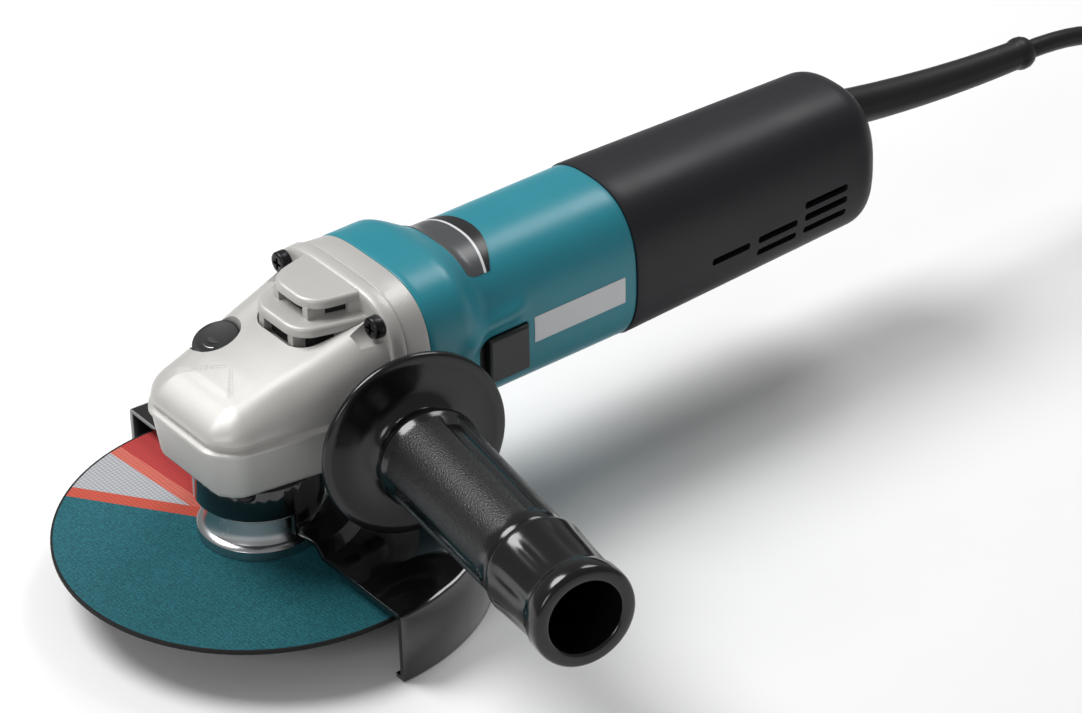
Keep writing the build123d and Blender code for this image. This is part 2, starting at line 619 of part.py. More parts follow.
with BuildPart() as motor_housing:
    for run in (front_run, waist, back_run):
        add(loft_x(run))
    add(hollow.part, mode=Mode.SUBTRACT)
    # rails that hold the stator
    with BuildSketch(across(stator_x[0] + 1)):
        add(squircle(*shrunk(grip, 1)))
        add(squircle(stator_section[0] + 0.05, stator_section[1] + 0.05, stator_section[2]), mode=Mode.SUBTRACT)
        for centre, height in rail_gaps:
            with Locations((0, centre)):
                Rectangle(80, height, mode=Mode.SUBTRACT)
    extrude(amount=stator_x[1] - stator_x[0] - 2)
    # tail: side plates, their webs to the wall, bridges for the brush holders and the rear bearing's seat
    for side in (1, -1):
        low, high = sorted((15 * side, 18 * side))
        add(block((tail_front_x, low, axis_z - 16), (tail_back_x, high, axis_z + 16)))
        low, high = sorted((15 * side, 26.5 * side))
        add(block((tail_front_x, low, axis_z), (housing_end_x, high, axis_z + 12)))
        low, high = sorted((side * brush_bridge[0], side * brush_bridge[1]))
        add(block((brush_x - 8, -tail_half_y, axis_z + low), (brush_x + 8, tail_half_y, axis_z + high)))
    add(block((rear_bearing[2] - 1, -tail_half_y, axis_z - 16), (tail_back_x, tail_half_y, axis_z + 16)))
    add(block((rear_bearing[2] - 1, -5, post_z - 3.5), (tail_back_x, 5, axis_z - 15)))
    add(ring_x(rear_bearing[0], 0, rear_bearing[2] - 2, rear_bearing[3]), mode=Mode.SUBTRACT)
    add(rod_x(6, rear_bearing[3] - 1, tail_back_x + 1), mode=Mode.SUBTRACT)
    for side in (1, -1):
        with Locations((brush_x, 0, axis_z + side * 16)):
            Box(brush_holder[0] + 0.1, brush_holder[1] + 0.1, 6, mode=Mode.SUBTRACT)
    # post for the rear cover's screw, and the cord's anchor on it
    with BuildSketch(across(tail_back_x - 1)):
        with Locations((0, post_z - axis_z)):
            Circle(3.5)
    extrude(amount=post_end_x - tail_back_x + 1)
    add(block((clamp_x[0], -13, post_z), (clamp_x[1], 13, cord_height(254) - 1.0)))
    add(cord_room, mode=Mode.SUBTRACT)
    with BuildSketch(across(post_end_x + 1)):
        with Locations((0, post_z - axis_z)):
            Circle(2.0)
    extrude(amount=-22, mode=Mode.SUBTRACT)
    with BuildSketch(Plane.XY.offset(cord_height(254))):
        with Locations((254, 9.5), (254, -9.5)):
            Circle(1.9)
    extrude(amount=-12, mode=Mode.SUBTRACT)
    with BuildSketch(across(cover_back_x)):
        with GridLocations(2 * screw_y, 2 * screw_z, 2, 2):
            Circle(flange_screw_radius)
    extrude(amount=13.5, mode=Mode.SUBTRACT)
    # well and slot for the switch's slider
    add(block((well_x[0], -45, well_z[0]), (well_x[1], well_floor_y, well_z[1])), mode=Mode.SUBTRACT)
    add(block((slot_x[0], -30, slot_z[0]), (slot_x[1], -20, slot_z[1])), mode=Mode.SUBTRACT)
save(motor_housing.part, "motor_housing")


# ---- motor: fan, armature, stator, bearings, brushes ----
armature_radius = 19.6
commutator_radius = 12.5
fan_radius = 31.0
brush = (10.0, 6.5)
brush_reach = (commutator_radius + 0.15, 22.0)        # distance from the axis to the brush's two ends
brush_spring_end = 27.6

with BuildPart() as cooling_fan:
    add(ring_x(9, shaft_radius, 55, 65.5))
    add(ring_x(fan_radius, shaft_radius, 64, 65.5))
    with BuildSketch(across(55.5)):
        with PolarLocations(19.5, 12):
            Rectangle(22, 1.6)
    extrude(amount=9)
save(cooling_fan.part, "cooling_fan")

with BuildPart() as fan_baffle:
    with BuildSketch(across(66.2)):
        add(squircle(32.9, 33.4, collar[2]))
        Circle(22, mode=Mode.SUBTRACT)
    extrude(amount=2)
save(fan_baffle.part, "fan_baffle")

save(ring_x(15.0, shaft_radius, 43, cover_back_x), "pinion_bearing")
save(ring_x(rear_bearing[0], rear_bearing[1], rear_bearing[2], rear_bearing[3]), "rear_armature_bearing")
save(along_x([(19, 0), (19, pinion_bore_radius), (pinion_back_x, pinion_bore_radius), (pinion_back_x, shaft_radius),
              (169, shaft_radius), (169, rear_bearing[1]), (177.5, rear_bearing[1]), (177.5, 0)]), "armature_shaft")

with BuildPart() as armature_core:
    with BuildSketch(across(85)):
        Circle(armature_radius)
        Circle(shaft_radius, mode=Mode.SUBTRACT)
        with PolarLocations(armature_radius - 3, 12):
            Rectangle(8, 2.2, mode=Mode.SUBTRACT)
    extrude(amount=44)
save(armature_core.part, "armature_core")

with BuildPart() as armature_windings:
    add(along_x([(74.5, shaft_radius), (74.5, 14), (77, 17), (85, 17), (85, shaft_radius)]))
    add(along_x([(129, shaft_radius), (129, 17), (137, 17), (143, 13), (143, shaft_radius)]))
save(armature_windings.part, "armature_windings")

with BuildPart() as commutator:
    with BuildSketch(across(146)):
        Circle(commutator_radius)
        Circle(shaft_radius, mode=Mode.SUBTRACT)
        with PolarLocations(commutator_radius, 24):
            Rectangle(1.2, 0.5, mode=Mode.SUBTRACT)
    extrude(amount=17)
save(commutator.part, "commutator")

with BuildPart() as stator_core:
    with BuildSketch(across(stator_x[0])):
        add(squircle(*stator_section))
        Circle(armature_radius + 0.7, mode=Mode.SUBTRACT)
    extrude(amount=stator_x[1] - stator_x[0])
save(stator_core.part, "stator_core")

with BuildPart() as stator_windings:
    for front_x, back_x in ((78, stator_x[0]), (stator_x[1], 138)):
        add(ring_x(24.4, 20.6, front_x, back_x))
    for side in (1, -1):
        with Locations((108, side * 35, axis_z)):
            Box(80, 34, 60, mode=Mode.SUBTRACT)
save(stator_windings.part, "stator_windings")

with BuildPart() as brush_holders:
    for side in (1, -1):
        low, high = sorted((side * brush_bridge[0], side * (brush_spring_end + 0.8)))
        add(block((brush_x - brush_holder[0] / 2, -brush_holder[1] / 2, axis_z + low),
                  (brush_x + brush_holder[0] / 2, brush_holder[1] / 2, axis_z + high)))
        low, high = sorted((side * (brush_bridge[0] - 1), side * brush_spring_end))
        add(block((brush_x - brush[0] / 2 - 0.05, -brush[1] / 2 - 0.05, axis_z + low),
                  (brush_x + brush[0] / 2 + 0.05, brush[1] / 2 + 0.05, axis_z + high)), mode=Mode.SUBTRACT)
save(brush_holders.part, "brush_holders")

for side, name in ((1, "upper"), (-1, "lower")):
    low, high = sorted((side * brush_reach[0], side * brush_reach[1]))
    with BuildPart() as carbon_brush:
        add(block((brush_x - brush[0] / 2, -brush[1] / 2, axis_z + low),
                  (brush_x + brush[0] / 2, brush[1] / 2, axis_z + high)))
    save(carbon_brush.part, f"carbon_brush_{name}")
    low, high = sorted((side * brush_reach[1], side * brush_spring_end))
    save(spring(2.4, 0.3, axis_z + low, axis_z + high, 4, (brush_x, 0)), f"brush_spring_{name}")


# ---- switch: slider in its well, rod along the motor, switch in the rear ----
slider_x = (81.5, 99.7)
slider_z = (54.5, 73.1)
slider_top_y = -30.2
leg_x = (84.0, 90.0)
rod_y = (-24.4, -22.9)
rod_z = (61.0, 67.0)
switch_x = (191.0, 225.0)

with BuildPart() as switch_slider:
    add(block((slider_x[0], slider_top_y, slider_z[0]), (slider_x[1], well_floor_y - 0.1, slider_z[1])))
    fillet(switch_slider.faces().sort_by(Axis.Y)[0].edges(), 1.5)
    add(block((leg_x[0], well_floor_y - 0.3, rod_z[0]), (leg_x[1], rod_y[0], rod_z[1])))
save(switch_slider.part, "switch_slider")

with BuildPart() as switch_rod:
    add(block((leg_x[0], rod_y[0], rod_z[0]), (189, rod_y[1], rod_z[1])))
    add(block((187, rod_y[0], rod_z[0]), (189, -14, rod_z[1])))
save(switch_rod.part, "switch_rod")
save(block((switch_x[0], -14, post_z + 3.5), (switch_x[1], 14, axis_z + 13)), "power_switch")


# ---- rear cover, its screw, the strain relief and the cord's clamp ----
cover_wall = 2.5
rounding_start_x = 260.0
end_inset = 9.0
vents = [(185.9, 204.4, 62.7), (208.5, 227.8, 63.1), (208.5, 227.8, 57.3),
         (231.5, 252.8, 68.7), (231.5, 252.8, 63.4), (231.5, 252.8, 57.6)]
vent_height = 2.4
cover_screw_seat_x = 266.0


def cover_section(x):
    """The rear cover's section: a long taper, then the rounding of its end."""
    share = (x - housing_end_x) / (rear_x - housing_end_x)
    width, height = (a + (b - a) * share for a, b in zip(cover_front[:2], cover_rear[:2]))
    past = max(0, x - rounding_start_x) / (rear_x - rounding_start_x)
    inset = end_inset * (1 - (1 - past ** 2) ** 0.5)
    return (width - inset, height - inset, cover_front[2])


taper_x = (housing_end_x, rounding_start_x)
round_x = (rounding_start_x, 263.5, 266.0, 268.0, 269.6, 270.6, rear_x)
with BuildPart() as rear_cover:
    add(loft_x([(x, cover_section(x)) for x in taper_x]))
    add(loft_x([(x, cover_section(x)) for x in round_x], smooth=False))
    add(loft_x([(x, shrunk(cover_section(x), cover_wall)) for x in taper_x]), mode=Mode.SUBTRACT)
    add(loft_x([(x, shrunk(cover_section(x), cover_wall)) for x in round_x[:4]], smooth=False), mode=Mode.SUBTRACT)
    # boss for the cover's screw
    with BuildSketch(across(post_end_x + 0.1)):
        with Locations((0, post_z - axis_z)):
            Circle(4.8)
    extrude(amount=5.5)
    with BuildSketch(across(rear_x + 1)):
        with Locations((0, post_z - axis_z)):
            Circle(4.0)
    extrude(amount=cover_screw_seat_x - rear_x - 1, mode=Mode.SUBTRACT)
    with BuildSketch(across(rear_x + 1)):
        with Locations((0, post_z - axis_z)):
            Circle(2.1)
    extrude(amount=-12, mode=Mode.SUBTRACT)
    add(along_cord([(264.0, 7.7), (275.0, 7.7)]), mode=Mode.SUBTRACT)
    for front_x, back_x, z in vents:
        with BuildSketch(Plane.XZ):
            with Locations(((front_x + back_x) / 2, z)):
                SlotOverall(back_x - front_x, vent_height)
        extrude(amount=40, both=True, mode=Mode.SUBTRACT)
save(rear_cover.part, "rear_cover")

cover_screw_plane = Plane((cover_screw_seat_x, 0, post_z), z_dir=(-1, 0, 0))
save(pan_screw(2.0, 20, 3.8, 2.6).moved(cover_screw_plane.location), "rear_cover_screw")

relief_radius = (7.6, 5.7)
with BuildPart() as strain_relief:
    span = relief_stations[-1] - relief_stations[0]
    add(along_cord([(x, relief_radius[0] + (relief_radius[1] - relief_radius[0]) * (x - relief_stations[0]) / span)
                    for x in relief_stations]))
    add(along_cord([(relief_stations[-1], relief_radius[1]), (362.2, 6.3), (363.6, 6.5), (365.6, 6.4),
                    (relief_end_x, 5.6)], smooth=False))
    add(along_cord([(262.5, 9.0), (266.0, 9.0)]))
    add(cord_room, mode=Mode.SUBTRACT)
save(strain_relief.part, "strain_relief")
save(cord_lead_in, "cord_lead_in")

clamp_low_z = cord_height(254) + 0.5
clamp_high_z = cord_height(254) + 4.6
with BuildPart() as cord_clamp:
    add(block((clamp_x[0], -13, clamp_low_z), (clamp_x[1], 13, clamp_high_z)))
    add(cord_room, mode=Mode.SUBTRACT)
    with BuildSketch(Plane.XY.offset(clamp_high_z + 1)):
        with Locations((254, 9.5), (254, -9.5)):
            Circle(2.0)
    extrude(amount=-8, mode=Mode.SUBTRACT)
save(cord_clamp.part, "cord_clamp")

with BuildPart() as cord_clamp_screws:
    for side in (1, -1):
        spot = Plane((254, side * 9.5, clamp_high_z), z_dir=(0, 0, -1))
        add(pan_screw(1.85, 12, 3.3, 2.2).moved(spot.location))
save(cord_clamp_screws.part, "cord_clamp_screws")


# ---- cord: out of the strain relief, down to the floor, into a coil, and to its plug ----
coil_centre = (402.2, -100.0)
coil_radii = (35.5, 43.0, 50.5)
coil_layers = 3
coil_outer, coil_inner = coil_radii[-1] + cord_radius, coil_radii[0] - cord_radius
coil_top_z = floor_z + coil_layers * 2 * cord_radius
tie_thickness = 1.2
tie_width = 8.0
plug_axis_z = 1.5
plug_front_y = -164.0

exit_z = cord_height(relief_end_x)
cord_route = [(relief_end_x, 0, exit_z), (391.6, 0, exit_z - 0.8), (417.6, -2.8, 62.9), (439.2, -12.7, 44.6),
              (448.4, -26.8, 30.5), (452.1, -46.4, 19.0), (452.7, -73.5, 12.75), (452.7, -100, 12.75)]
tail_route = [(452.7, -100, -2.25), (452.7, -124, -2.25), (452.7, -148, plug_axis_z), (452.7, -165, plug_axis_z)]


def plug_plane(along):
    """The plane square to the plug, a distance along it from its cord end."""
    return Plane((cord_route[-1][0], plug_front_y - along, plug_axis_z), x_dir=(1, 0, 0), z_dir=(0, -1, 0))


def arc_radii(route):
    """The largest arc that each corner of a route takes, by the shorter of its two runs."""
    radii = []
    for first, corner, last in zip(route, route[1:], route[2:]):
        before, after = Vector(*corner) - Vector(*first), Vector(*last) - Vector(*corner)
        half_turn = radians(before.get_angle(after)) / 2
        radii.append(0.45 * min(before.length, after.length) / tan(half_turn))
    return radii


def cord_tube(route):
    """A round cord along straight runs joined by tangent arcs."""
    radii = arc_radii(route)
    print("cord arcs, mm:", [round(radius) for radius in radii])
    with BuildPart() as tube:
        with BuildLine() as path:
            FilletPolyline(*route, radius=radii)
        with BuildSketch(Plane(path.line @ 0, z_dir=path.line % 0)):
            Circle(cord_radius)
        sweep(path=path.line)
    print("tube, length and volume over section:", round(sum(edge.length for edge in path.edges()), 1),
          round(tube.part.volume / (pi * cord_radius ** 2), 1))
    return tube.part


tie_low = (coil_centre[0] - 60, coil_centre[1] - tie_width / 2, floor_z - 5)
tie_high = (coil_centre[0] - 20, coil_centre[1] + tie_width / 2, coil_top_z + 5)
coil_ring = ring(coil_outer, coil_inner, floor_z, coil_top_z).moved(Location((*coil_centre, 0)))
tie_core = ring(coil_outer - tie_thickness, coil_inner + tie_thickness, floor_z + tie_thickness,
                coil_top_z - tie_thickness).moved(Location((*coil_centre, 0)))

with BuildPart() as cord_tie:
    add(coil_ring)
    add(tie_core, mode=Mode.SUBTRACT)
    add(block(tie_low, tie_high), mode=Mode.INTERSECT)
save(cord_tie.part, "cord_tie")

with BuildPart() as cord_coil:
    add(coil_ring)
    add(cord_tie.part, mode=Mode.SUBTRACT)
save(cord_coil.part, "cord_coil")

with BuildPart() as cord:
    add(cord_tube(cord_route))
    add(coil_ring, mode=Mode.SUBTRACT)
save(cord.part, "cord")

with BuildPart() as plug:
    with BuildSketch(plug_plane(0)):
        Circle(4.6)
    with BuildSketch(plug_plane(12)):
        Circle(6.6)
    loft()
    with BuildSketch(plug_plane(12)):
        RectangleRounded(25, 15, 4)
    extrude(amount=28)
    with BuildSketch(plug_plane(-1)):
        Circle(cord_radius + 0.02)
    extrude(amount=11, mode=Mode.SUBTRACT)
save(plug.part, "plug")

with BuildPart() as plug_pins:
    with BuildSketch(plug_plane(40)):
        with GridLocations(12.7, 1, 2, 1):
            Rectangle(1.5, 6.35)
    extrude(amount=17)
save(plug_pins.part, "plug_pins")

with BuildPart() as cord_tail:
    add(cord_tube(tail_route))
    add(coil_ring, mode=Mode.SUBTRACT)
save(cord_tail.part, "cord_tail")
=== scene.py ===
"""The finished look of the corded angle grinder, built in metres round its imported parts."""
import math

import bmesh
import bpy
from mathutils import Matrix, Vector


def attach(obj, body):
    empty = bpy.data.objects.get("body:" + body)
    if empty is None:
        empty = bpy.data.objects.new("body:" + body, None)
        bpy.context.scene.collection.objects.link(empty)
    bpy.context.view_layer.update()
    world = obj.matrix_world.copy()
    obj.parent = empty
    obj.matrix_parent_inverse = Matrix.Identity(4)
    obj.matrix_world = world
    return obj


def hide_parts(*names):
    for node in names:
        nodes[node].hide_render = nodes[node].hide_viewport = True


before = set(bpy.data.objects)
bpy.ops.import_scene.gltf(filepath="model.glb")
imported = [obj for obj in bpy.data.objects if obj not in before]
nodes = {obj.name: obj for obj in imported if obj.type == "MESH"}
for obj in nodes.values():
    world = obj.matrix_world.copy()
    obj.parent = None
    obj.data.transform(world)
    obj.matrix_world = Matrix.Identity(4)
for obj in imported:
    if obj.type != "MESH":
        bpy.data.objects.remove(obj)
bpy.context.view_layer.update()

# ---- camera ----
# A long lens in front of the head, a little above it, turned by a degree and a half.
# It takes in the tool and the start of its lead, and leaves the coil outside its right edge.
camera = bpy.data.objects.new("camera", bpy.data.cameras.new("camera"))
bpy.context.scene.collection.objects.link(camera)
right, up = Vector((0.7888, -0.6142, -0.0238)), Vector((0.3530, 0.4209, 0.8356))
back = right.cross(up).normalized()
camera.matrix_world = Matrix((right, up, back)).transposed().to_4x4()
camera.location = (-0.7059, -1.1044, 0.9409)
camera.data.lens = 149.7
camera.data.sensor_width = 36
camera.data.clip_end = 20
bpy.context.scene.camera = camera

# ---- mains lead ----
# 2.5 m of round 7.5 mm cable, copper cores in a rubber sheath, clamped inside the rear cover.
# It leaves the strain relief, comes down to the floor, and is wound away in a tied coil.
MM = 0.001
CORD_RADIUS = 3.75
FLOOR_Z = -6.0
COIL_CENTRE = (402.2, -100.0)
COIL_RADII = (35.5, 43.0, 50.5)


def shader(name, color, roughness, metallic=0.0):
    """A new material with its Principled shader set to plain values; returns both and the node tree."""
    material = bpy.data.materials.new(name)
    material.use_nodes = True
    tree = material.node_tree
    surface = tree.nodes["Principled BSDF"]
    surface.inputs["Base Color"].default_value = (*color, 1)
    surface.inputs["Roughness"].default_value = roughness
    surface.inputs["Metallic"].default_value = metallic
    return material, surface, tree


def add_node(tree, kind, values=None, **settings):
    """A shader node of that kind with its settings and input values filled in."""
    node = tree.nodes.new(kind)
    for key, value in settings.items():
        setattr(node, key, value)
    for key, value in (values or {}).items():
        node.inputs[key].default_value = value
    return node


def grain_group():
    """Fine moulded or cast grain: a Normal, and a slow smudge mask for roughness."""
    tree = bpy.data.node_groups.new("surface_grain", "ShaderNodeTree")
    for label, kind, value in (("Scale", "NodeSocketFloat", 1500.0), ("Depth", "NodeSocketFloat", 0.1),
                               ("Smudge Scale", "NodeSocketFloat", 30.0)):
        socket = tree.interface.new_socket(label, in_out="INPUT", socket_type=kind)
        socket.default_value = value
    tree.interface.new_socket("Normal", in_out="OUTPUT", socket_type="NodeSocketVector")
    tree.interface.new_socket("Smudge", in_out="OUTPUT", socket_type="NodeSocketFloat")
    start, end = tree.nodes.new("NodeGroupInput"), tree.nodes.new("NodeGroupOutput")
    place = add_node(tree, "ShaderNodeTexCoord")
    grain = add_node(tree, "ShaderNodeTexNoise", {"Detail": 3.0, "Roughness": 0.6})
    smudge = add_node(tree, "ShaderNodeTexNoise", {"Detail": 5.0, "Roughness": 0.55})
    bump = add_node(tree, "ShaderNodeBump", {"Distance": 0.0002})
    tree.links.new(place.outputs["Object"], grain.inputs["Vector"])
    tree.links.new(place.outputs["Object"], smudge.inputs["Vector"])
    tree.links.new(start.outputs["Scale"], grain.inputs["Scale"])
    tree.links.new(start.outputs["Smudge Scale"], smudge.inputs["Scale"])
    tree.links.new(start.outputs["Depth"], bump.inputs["Strength"])
    tree.links.new(grain.outputs["Fac"], bump.inputs["Height"])
    tree.links.new(bump.outputs["Normal"], end.inputs["Normal"])
    tree.links.new(smudge.outputs["Fac"], end.inputs["Smudge"])
    return tree


GRAIN = grain_group()


def grained(name, color, roughness, metallic=0.0, scale=1500.0, depth=0.1, spread=0.12, tint=0.08, specular=0.5):
    """A material whose roughness and colour wander a little and whose surface has a fine grain."""
    material, surface, tree = shader(name, color, roughness, metallic)
    surface.inputs["Specular IOR Level"].default_value = specular
    grain = add_node(tree, "ShaderNodeGroup", node_tree=GRAIN)
    grain.inputs["Scale"].default_value = scale
    grain.inputs["Depth"].default_value = depth
    level = add_node(tree, "ShaderNodeMapRange", {"From Min": 0.3, "From Max": 0.7,
                                                  "To Min": roughness - spread / 2, "To Max": roughness + spread / 2})
    shade = add_node(tree, "ShaderNodeMix", data_type="RGBA")
    shade.inputs["A"].default_value = (*[c * (1 - tint) for c in color], 1)
    shade.inputs["B"].default_value = (*[min(1, c * (1 + tint)) for c in color], 1)
    tree.links.new(grain.outputs["Smudge"], level.inputs["Value"])
    tree.links.new(level.outputs["Result"], surface.inputs["Roughness"])
    tree.links.new(grain.outputs["Smudge"], shade.inputs["Factor"])
    tree.links.new(shade.outputs["Result"], surface.inputs["Base Color"])
    tree.links.new(grain.outputs["Normal"], surface.inputs["Normal"])
    return material


cord_rubber = grained("cord_rubber", (0.008, 0.008, 0.009), 0.40, scale=900, depth=0.15, specular=0.35)

exit_point = Vector((367.6, 0, 73.67))
route = [tuple(exit_point), (391.6, 0, 72.87), (417.6, -2.8, 62.9), (439.2, -12.7, 44.6), (448.4, -26.8, 30.5),
         (452.1, -46.4, 19.0), (452.7, -73.5, 12.75), (452.7, -100, 12.75)]
turn_order = [(2, 2), (1, 2), (0, 2), (0, 1), (1, 1), (2, 1), (1, 0), (2, 0)]      # (ring, layer) of each turn
steps_a_turn = 16
for count, (ring, layer) in enumerate(turn_order):
    height = FLOOR_Z + CORD_RADIUS + layer * 2 * CORD_RADIUS
    nearest = turn_order[min(count + 1, len(turn_order) - 1)]
    for step in range(1, steps_a_turn + 1):
        share = max(0.0, (step - steps_a_turn + 4) / 4)
        radius = COIL_RADII[ring] + (COIL_RADII[nearest[0]] - COIL_RADII[ring]) * share
        lift = height + (FLOOR_Z + CORD_RADIUS + nearest[1] * 2 * CORD_RADIUS - height) * share
        angle = -2 * math.pi * step / steps_a_turn
        route.append((COIL_CENTRE[0] + radius * math.cos(angle), COIL_CENTRE[1] + radius * math.sin(angle), lift))
route += [(452.7, -124, -2.25), (452.7, -148, 1.5), (452.7, -165, 1.5)]

lead_data = bpy.data.curves.new("mains_lead", "CURVE")
lead_data.dimensions = "3D"
lead_data.bevel_depth = CORD_RADIUS * MM
lead_data.bevel_resolution = 6
lead_data.resolution_u = 6
lead_data.use_fill_caps = True
line = lead_data.splines.new("NURBS")
line.points.add(len(route) - 1)
for point, spot in zip(line.points, route):
    point.co = (*[value * MM for value in spot], 1)
line.order_u = 3
line.use_endpoint_u = True
mains_lead = bpy.data.objects.new("mains_lead", lead_data)
bpy.context.scene.collection.objects.link(mains_lead)
mains_lead.data.materials.append(cord_rubber)
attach(mains_lead, "housing")
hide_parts("cord", "cord_coil", "cord_tail")


# ---- plug, tie and what else is on the lead ----
# A two-blade plug, moulded onto the end of the lead in the same rubber, with brass blades.
# A strip of plastic is looped round the coil and holds its turns together.
def finish_cad(node, material):
    """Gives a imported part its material."""
    part = nodes[node]
    part.data.materials.clear()
    part.data.materials.append(material)
    for face in part.data.polygons:
        face.material_index = 0


def set_down(name, bm, body, material, replaced=(), bevel=0.0, segments=2, smooth=32):
    """Puts a mesh made in millimetres into the scene in metres, smooth but for its sharp edges."""
    bmesh.ops.scale(bm, vec=(MM, MM, MM), verts=bm.verts)
    mesh = bpy.data.meshes.new(name)
    bm.to_mesh(mesh)
    bm.free()
    piece = bpy.data.objects.new(name, mesh)
    bpy.context.scene.collection.objects.link(piece)
    mesh.materials.append(material)
    mesh.shade_smooth()
    if bevel:
        soften = piece.modifiers.new("soft_edges", "BEVEL")
        soften.width = bevel * MM
        soften.segments = segments
        soften.limit_method = "ANGLE"
        soften.angle_limit = math.radians(smooth)
        soften.harden_normals = True
    else:
        mesh.set_sharp_from_angle(angle=math.radians(smooth))
    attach(piece, body)
    if replaced:
        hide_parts(*replaced)
    return piece


def copied(node):
    """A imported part's mesh in millimetres, with its loose triangles joined and its flat faces whole again."""
    bm = bmesh.new()
    bm.from_mesh(nodes[node].data)
    bmesh.ops.scale(bm, vec=(1 / MM, 1 / MM, 1 / MM), verts=bm.verts)
    bmesh.ops.remove_doubles(bm, verts=bm.verts, dist=0.001)
    bmesh.ops.dissolve_limit(bm, angle_limit=math.radians(0.5), verts=bm.verts, edges=bm.edges)
    return bm


plug_body = set_down("plug_body", copied("plug"), "housing", cord_rubber, ["plug"],
                     bevel=0.8, segments=3)
brass = grained("brass_blades", (0.72, 0.53, 0.24), 0.28, 1.0, scale=400, depth=0.05)
plug_blades = set_down("plug_blades", copied("plug_pins"), "housing", brass, ["plug_pins"], bevel=0.3)
tie_plastic = grained("tie_plastic", (0.02, 0.02, 0.022), 0.5)
coil_tie = set_down("coil_tie", copied("cord_tie"), "housing", tie_plastic, ["cord_tie"], bevel=0.3)


# ---- cut-off wheel ----
# 150 mm resin-bonded abrasive disc, 1.6 mm thick, pressed over glass-fibre mesh.
# Its top face is printed in flat colours, and it is clamped between the flange and the nut.
def measured(tree, source, direction):
    """How far each point lies along a direction, in millimetres."""
    dot = add_node(tree, "ShaderNodeVectorMath", operation="DOT_PRODUCT")
    dot.inputs[1].default_value = [1000 * part for part in direction]
    tree.links.new(source, dot.inputs[0])
    return dot.outputs["Value"]


def compared(tree, operation, first, second):
    """A Math node with sockets or plain numbers on its two inputs."""
    node = add_node(tree, "ShaderNodeMath", operation=operation)
    for socket, value in zip(node.inputs, (first, second)):
        if isinstance(value, (int, float)):
            socket.default_value = value
        else:
            tree.links.new(value, socket)
    return node.outputs["Value"]


def painted_over(tree, under, color, mask):
    """A colour laid over another where the mask is 1."""
    mix = add_node(tree, "ShaderNodeMix", data_type="RGBA")
    for socket, value in (("A", under), ("B", color)):
        if isinstance(value, tuple):
            mix.inputs[socket].default_value = (*value, 1)
        else:
            tree.links.new(value, mix.inputs[socket])
    tree.links.new(mask, mix.inputs["Factor"])
    return mix.outputs["Result"]


wheel_resin, surface, tree = shader("wheel_resin", (0.012, 0.13, 0.16), 0.72)
place = add_node(tree, "ShaderNodeTexCoord").outputs["Object"]
across_stripe = measured(tree, place, (0.817, 0.577, 0))
from_hub = measured(tree, place, (1, 0.077, 0))
height = measured(tree, place, (0, 0, 1))
flat = add_node(tree, "ShaderNodeVectorMath", operation="MULTIPLY")
flat.inputs[1].default_value = (1000, 1000, 0)
tree.links.new(place, flat.inputs[0])
span = add_node(tree, "ShaderNodeVectorMath", operation="LENGTH")
tree.links.new(flat.outputs["Vector"], span.inputs[0])
radius = span.outputs["Value"]
speckle = add_node(tree, "ShaderNodeTexNoise", {"Scale": 1500.0, "Detail": 3.0})
tree.links.new(place, speckle.inputs["Vector"])
lines = []
for direction in ("X", "Y"):
    wave = add_node(tree, "ShaderNodeTexWave", {"Scale": 210.0, "Distortion": 1.2, "Detail": 2.0, "Detail Scale": 40.0},
                    bands_direction=direction)
    tree.links.new(place, wave.inputs["Vector"])
    lines.append(compared(tree, "POWER", wave.outputs["Fac"], 5.0))
mesh_mask = compared(tree, "MULTIPLY", compared(tree, "MAXIMUM", *lines), 0.45)
surface.inputs["Specular IOR Level"].default_value = 0.25
contrast = add_node(tree, "ShaderNodeMapRange", {"From Min": 0.38, "From Max": 0.62})
tree.links.new(speckle.outputs["Fac"], contrast.inputs["Value"])
color = painted_over(tree, (0.006, 0.075, 0.096), (0.016, 0.145, 0.175), contrast.outputs["Result"])
in_stripe = compared(tree, "GREATER_THAN", across_stripe, -1.6)
past_stripe = compared(tree, "GREATER_THAN", across_stripe, 4.2)
color = painted_over(tree, color, (0.55, 0.075, 0.04), in_stripe)
color = painted_over(tree, color, (0.42, 0.42, 0.44), past_stripe)
in_strip = compared(tree, "MULTIPLY", past_stripe, compared(tree, "GREATER_THAN", from_hub, -11.1))
color = painted_over(tree, color, (0.60, 0.13, 0.09), in_strip)
in_banner = compared(tree, "MULTIPLY", past_stripe, compared(tree, "GREATER_THAN", from_hub, -6.0))
color = painted_over(tree, color, (0.46, 0.035, 0.03), in_banner)
color = painted_over(tree, color, (0.006, 0.05, 0.065), mesh_mask)
edge = compared(tree, "MAXIMUM", compared(tree, "GREATER_THAN", radius, 74.1),
                compared(tree, "LESS_THAN", height, 14.9))
color = painted_over(tree, color, (0.008, 0.008, 0.008), edge)
tree.links.new(color, surface.inputs["Base Color"])
relief = add_node(tree, "ShaderNodeBump", {"Strength": 0.35, "Distance": 0.0003})
tree.links.new(compared(tree, "ADD", mesh_mask, speckle.outputs["Fac"]), relief.inputs["Height"])
tree.links.new(relief.outputs["Normal"], surface.inputs["Normal"])
set_down("cutoff_wheel", copied("cutting_wheel"), "spindle_assembly", wheel_resin,
         ["cutting_wheel"], bevel=0.15)

# ---- clamping hardware ----
# Turned steel: the inner flange under the gear head, the spindle itself and the clamping nut.
# The flange slides onto the spindle, and the nut screws up against the wheel from below.
turned_steel = grained("turned_steel", (0.24, 0.24, 0.25), 0.26, 1.0, scale=700, depth=0.06)
bright_flange = grained("bright_flange", (0.50, 0.51, 0.52), 0.27, 1.0, scale=900, depth=0.05)


